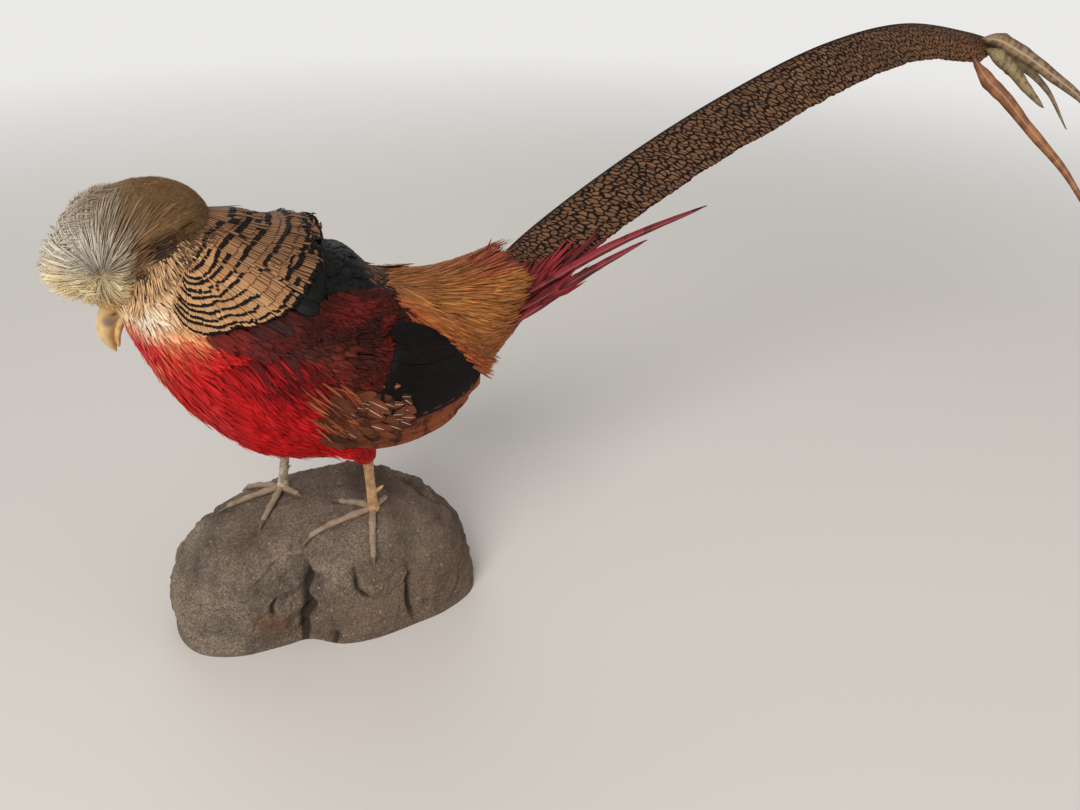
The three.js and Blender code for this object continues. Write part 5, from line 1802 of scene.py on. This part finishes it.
for name, (x, side, lean) in FEET.items():
    y = side * FEET_APART
    ground = float(rock_height(np.array(x, float), np.array(y, float))) + FOOT_GAP
    tarsus = [
        (x + lean * share, y, ground + up, *TARSUS_RADIUS * np.array([half, reach, reach]))
        for share, up, half, reach in TARSUS
    ]
    tarsus = sweep(tarsus, 0.05, 0.08)
    spur = sweep([(x + back, y, ground + up, radius, radius, radius) for back, up, radius in SPUR], 0.1, 0.2)
    leg = scuted(lambda t, turn, lift: tarsus(t, turn + np.pi, lift), 3.4, 50, 0.35, 150, 40)
    back = scuted(spur, 3.0, 9, 0.0, 24, 20)
    new_piece(
        f"tarsus_skin_{name}", *joined([leg[:2], back[:2]]), TARSUS_SKIN[name], "leg_skin", [f"tarsus_{name}"],
        seam=np.concatenate([leg[2], back[2]]),
    )
    for digit, (heading, length) in TOES[name].items():
        turn = np.radians(heading)
        across = np.array([np.sin(turn), -np.cos(turn), 0.0])
        for part, radius, first, last, rows, depth, blunt, material, slot in DIGIT_PARTS:
            route = over_rock(x, y, turn, length, lambda share: FOOT_GAP + radius(share))
            share = np.linspace(first, last, 15)
            places = [np.interp(share, np.linspace(0, 1, 25), axis) for axis in route.T]
            limb = sweep(np.stack(places + [radius(share)] * 3, -1), 0.08, blunt, across=across)
            points, triangles, seam = scuted(limb, 2.3, length * (last - first), depth, rows, 28)
            replaced = [f"{part}_{name}_{digit}"]
            new_piece(f"{part}_{digit}_{name}_skin", points, triangles, material, slot, replaced, seam=seam)


# ---- Bill and eyes ----
# The bill is pale yellow horn, curved down like a hook, with a greyish purple cere round the nostril.
# The glass eyes are dark and half closed between lids of tan skin.

BILL = {
    "upper": sweep(
        [(-81, 0, 268, 7.2, 9.5, 5), (-89.5, 0, 257.5, 6.2, 8.2, 4.2), (-93.3, 0, 246, 4.2, 5.2, 3.2),
         (-90.2, 0, 233.8, 0.9, 0.9, 0.9)],
        0.03, 0.1,
    ),
    "lower": sweep(
        [(-76, 0, 263, 6.0, 3, 3.5), (-83, 0, 253, 5.2, 2.6, 3.5), (-87, 0, 244, 3.2, 1.8, 2.4),
         (-88.2, 0, 236.4, 0.8, 0.8, 0.8)],
        0.1, 0.12,
    ),
}
CERE, NOSTRIL = np.array([-89.0, -5.5, 255.5]), np.array([-84.5, -7.0, 259.0])


def horn(tree):
    """Yellow horn, palest along the ridge and browner at the base, the cere, and painted shade in the nostril."""
    cloud = clouds(tree, 190.0, 4.0)
    colour = layers(
        tree, linear(226, 196, 136), (ramp(tree, cloud, (0.35, 0.0), (0.68, 1.0)), linear(196, 152, 92)),
        (attribute(tree, "ridge"), linear(242, 226, 192)), (attribute(tree, "base"), linear(168, 124, 74)),
        # the nostril is painted dark: painted shade in its opening
        (attribute(tree, "cere"), linear(124, 102, 100)), (attribute(tree, "nostril"), linear(48, 34, 24)),
    )
    return colour, 0.34, cloud, 0.0001


HORN = finish("bill horn", horn, Specular_IOR_Level=0.5)
for name, surface in BILL.items():
    t, turn = np.linspace(0.002, 0.998, 110)[:, None], TURNS[None, :]
    left = on_left(surface(t, turn, 0))
    # The nostril: a small dent, painted dark as shade in its opening.
    hole = near(left, NOSTRIL, 1.9, [1.0, 0.6, 1.6]) * (name == "upper")
    cere = near(left, CERE, 3.6, [1, 0.7, 1], 4) * (name == "upper")
    keel = np.exp(-(((turn - np.pi) / 0.28) ** 2)) + 0 * t
    points, triangles = closed_tube(surface(t, turn, 0.5 * keel * ease(t, 0.1, 0.4) - hole + 0.25 * cere))
    new_piece(
        f"bill_{name}_horn", points, triangles, HORN, "horn", [f"bill_{name}"],
        ridge=capped(0.8 * keel, 0, 0.5), base=capped(0.7 * (1 - ease(t, 0.0, 0.35)) + 0 * turn),
        cere=capped(0.85 * cere), nostril=capped(hole),
    )

EYE_RADIUS, LID_RADIUS = 4.6, 4.85
EYE_CENTRE = np.array([-64.0, -17.0, 283.0])
EYE_OUT = unit(np.array([-0.28, -0.95, 0.0]))
EYE_LONG = unit(np.cross(np.cross(EYE_OUT, [0.66, 0.0, 0.75]), EYE_OUT))  # from the bill's corner up to the ear's
EYE_WIDE = np.cross(EYE_OUT, EYE_LONG)
HALF_LONG, HALF_WIDE, LID_END = np.radians([44, 15, 84])  # of the opening between the lids, and their outer edge


def eye_point(bearing, angle, radius):
    """A point by its angle from the eye's axis, the bearing of that angle, and its distance from the centre."""
    flat = np.cos(bearing)[..., None] * EYE_LONG + np.sin(bearing)[..., None] * EYE_WIDE
    return EYE_CENTRE + radius[..., None] * (np.cos(angle)[..., None] * EYE_OUT + np.sin(angle)[..., None] * flat)


def glass_eye(tree):
    """A brown iris round a black pupil, under clear glass."""
    pupil = ramp(tree, attribute(tree, "off_axis"), (0.5, 1.0), (0.56, 0.0))
    iris = mix(tree, clouds(tree, 900.0), linear(40, 22, 12), linear(70, 40, 20))
    return mix(tree, pupil, iris, linear(8, 6, 5)), 0.08, None, 0


def lid_skin(tree):
    """Dry tan skin, wrinkled along the lid, with a dark wet edge."""
    crease = clouds(tree, 900.0, 3.0)
    colour = mix(tree, crease, linear(104, 74, 50), linear(140, 104, 70))
    edge = ramp(tree, attribute(tree, "lid"), (0.0, 0.95), (0.3, 0.0))
    return mix(tree, edge, colour, linear(44, 28, 20)), 0.7, crease, 0.0003


GLASS = finish("glass eye", glass_eye, Coat_Weight=0.6, Coat_Roughness=0.03)
LID = finish("eyelid", lid_skin, Specular_IOR_Level=0.2)
bearing = np.linspace(0, 2 * np.pi, 72, endpoint=False)
ball_angle, ball_bearing = np.meshgrid(np.linspace(0.02, np.pi - 0.02, 48), bearing, indexing="ij")
ball_points, ball_triangles = closed_tube(eye_point(ball_bearing, ball_angle, 0 * ball_angle + EYE_RADIUS))
opening = 1 / np.hypot(np.cos(bearing) / HALF_LONG, np.sin(bearing) / HALF_WIDE)
opening = (opening * (1 - 0.25 * np.abs(np.cos(bearing)) ** 8))[:, None]
# A lid's section: shares of the way from its edge out, and heights over the glass
share = np.array([0.0, 0.06, 0.16, 0.3, 0.5, 0.75, 1.0, 1.0, 0.6, 0.2])
over = np.array([-0.1, 0.35, 0.5, 0.4, 0.2, 0.0, -0.3, -0.9, -0.6, -0.4])
lid_angle = opening + (LID_END - opening) * share
fold = 0.22 * np.sin(share * 16) * (over > 0)
grid = eye_point(bearing[:, None] + 0 * lid_angle, lid_angle, LID_RADIUS + over + fold + 0 * lid_angle)
lid_triangles = ring_faces(len(bearing) + 1, len(share)) % grid[..., 0].size
lid_share = np.tile(np.where(over > 0, share, 0.5), len(bearing))
for name, flip in (("left", 1), ("right", mirror)):
    off_axis = capped(ball_angle, 0, np.pi)
    new_piece(f"eye_glass_{name}", ball_points * flip, ball_triangles, GLASS, "eye", [f"eye_{name}"], off_axis=off_axis)
    new_piece(f"eyelids_{name}", grid.reshape(-1, 3) * flip, lid_triangles, LID, "face_feathers", lid=lid_share)


# ---- The skin ----
# One seamless skin under the whole coat, from the crown to the shanks, with the colours of the
# feathers that grow from it.

CELL = 7.0
root_points, root_colours = map(np.concatenate, zip(*ROOTS))
low = root_points.min(axis=0) - 4 * CELL
shape = np.ceil((root_points.max(axis=0) - low) / CELL).astype(int) + 5
sums = np.zeros((*shape, 4))  # of the colours in each cell, and their number
index = tuple(((root_points - low) / CELL).astype(int).T)
np.add.at(sums, index, np.concatenate([root_colours, np.ones((len(root_points), 1))], axis=1))
for _ in range(6):
    for axis in range(3):
        sums = sums + 0.5 * (np.roll(sums, 1, axis) + np.roll(sums, -1, axis))
found = sums[tuple(np.clip(((skin_points - low) / CELL).astype(int), 0, shape - 1).T)]
skin_colours = np.concatenate([found[:, :3] / np.maximum(found[:, 3:], 1e-9), np.ones((len(found), 1))], axis=1)


def bare_skin(tree):
    """Dry skin and down in the colour of the feathers over it, with fine goose flesh."""
    bumps = cells(tree, 500.0)["Distance"]
    dark = mix(tree, 0.4, plumage(tree), linear(70, 44, 32))
    return mix(tree, clouds(tree, 300.0, 4.0), dark, plumage(tree)), 0.8, bumps, 0.0003


new_piece(
    "skin", skin_points, skin_triangles, finish("skin", bare_skin), "breast_feathers",
    ["trunk", "neck", "head", "cape", "mantle", "rump", "nape", "crest", "wing_left", "wing_right", "shank_left",
     "shank_right", "undertail"],
    plumage=skin_colours,
)


sizes = {
    "cad_box": [list(map(float, corner)) for corner in CAD_BOX],
    "visual_box": [list(map(float, corner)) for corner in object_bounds()],
}
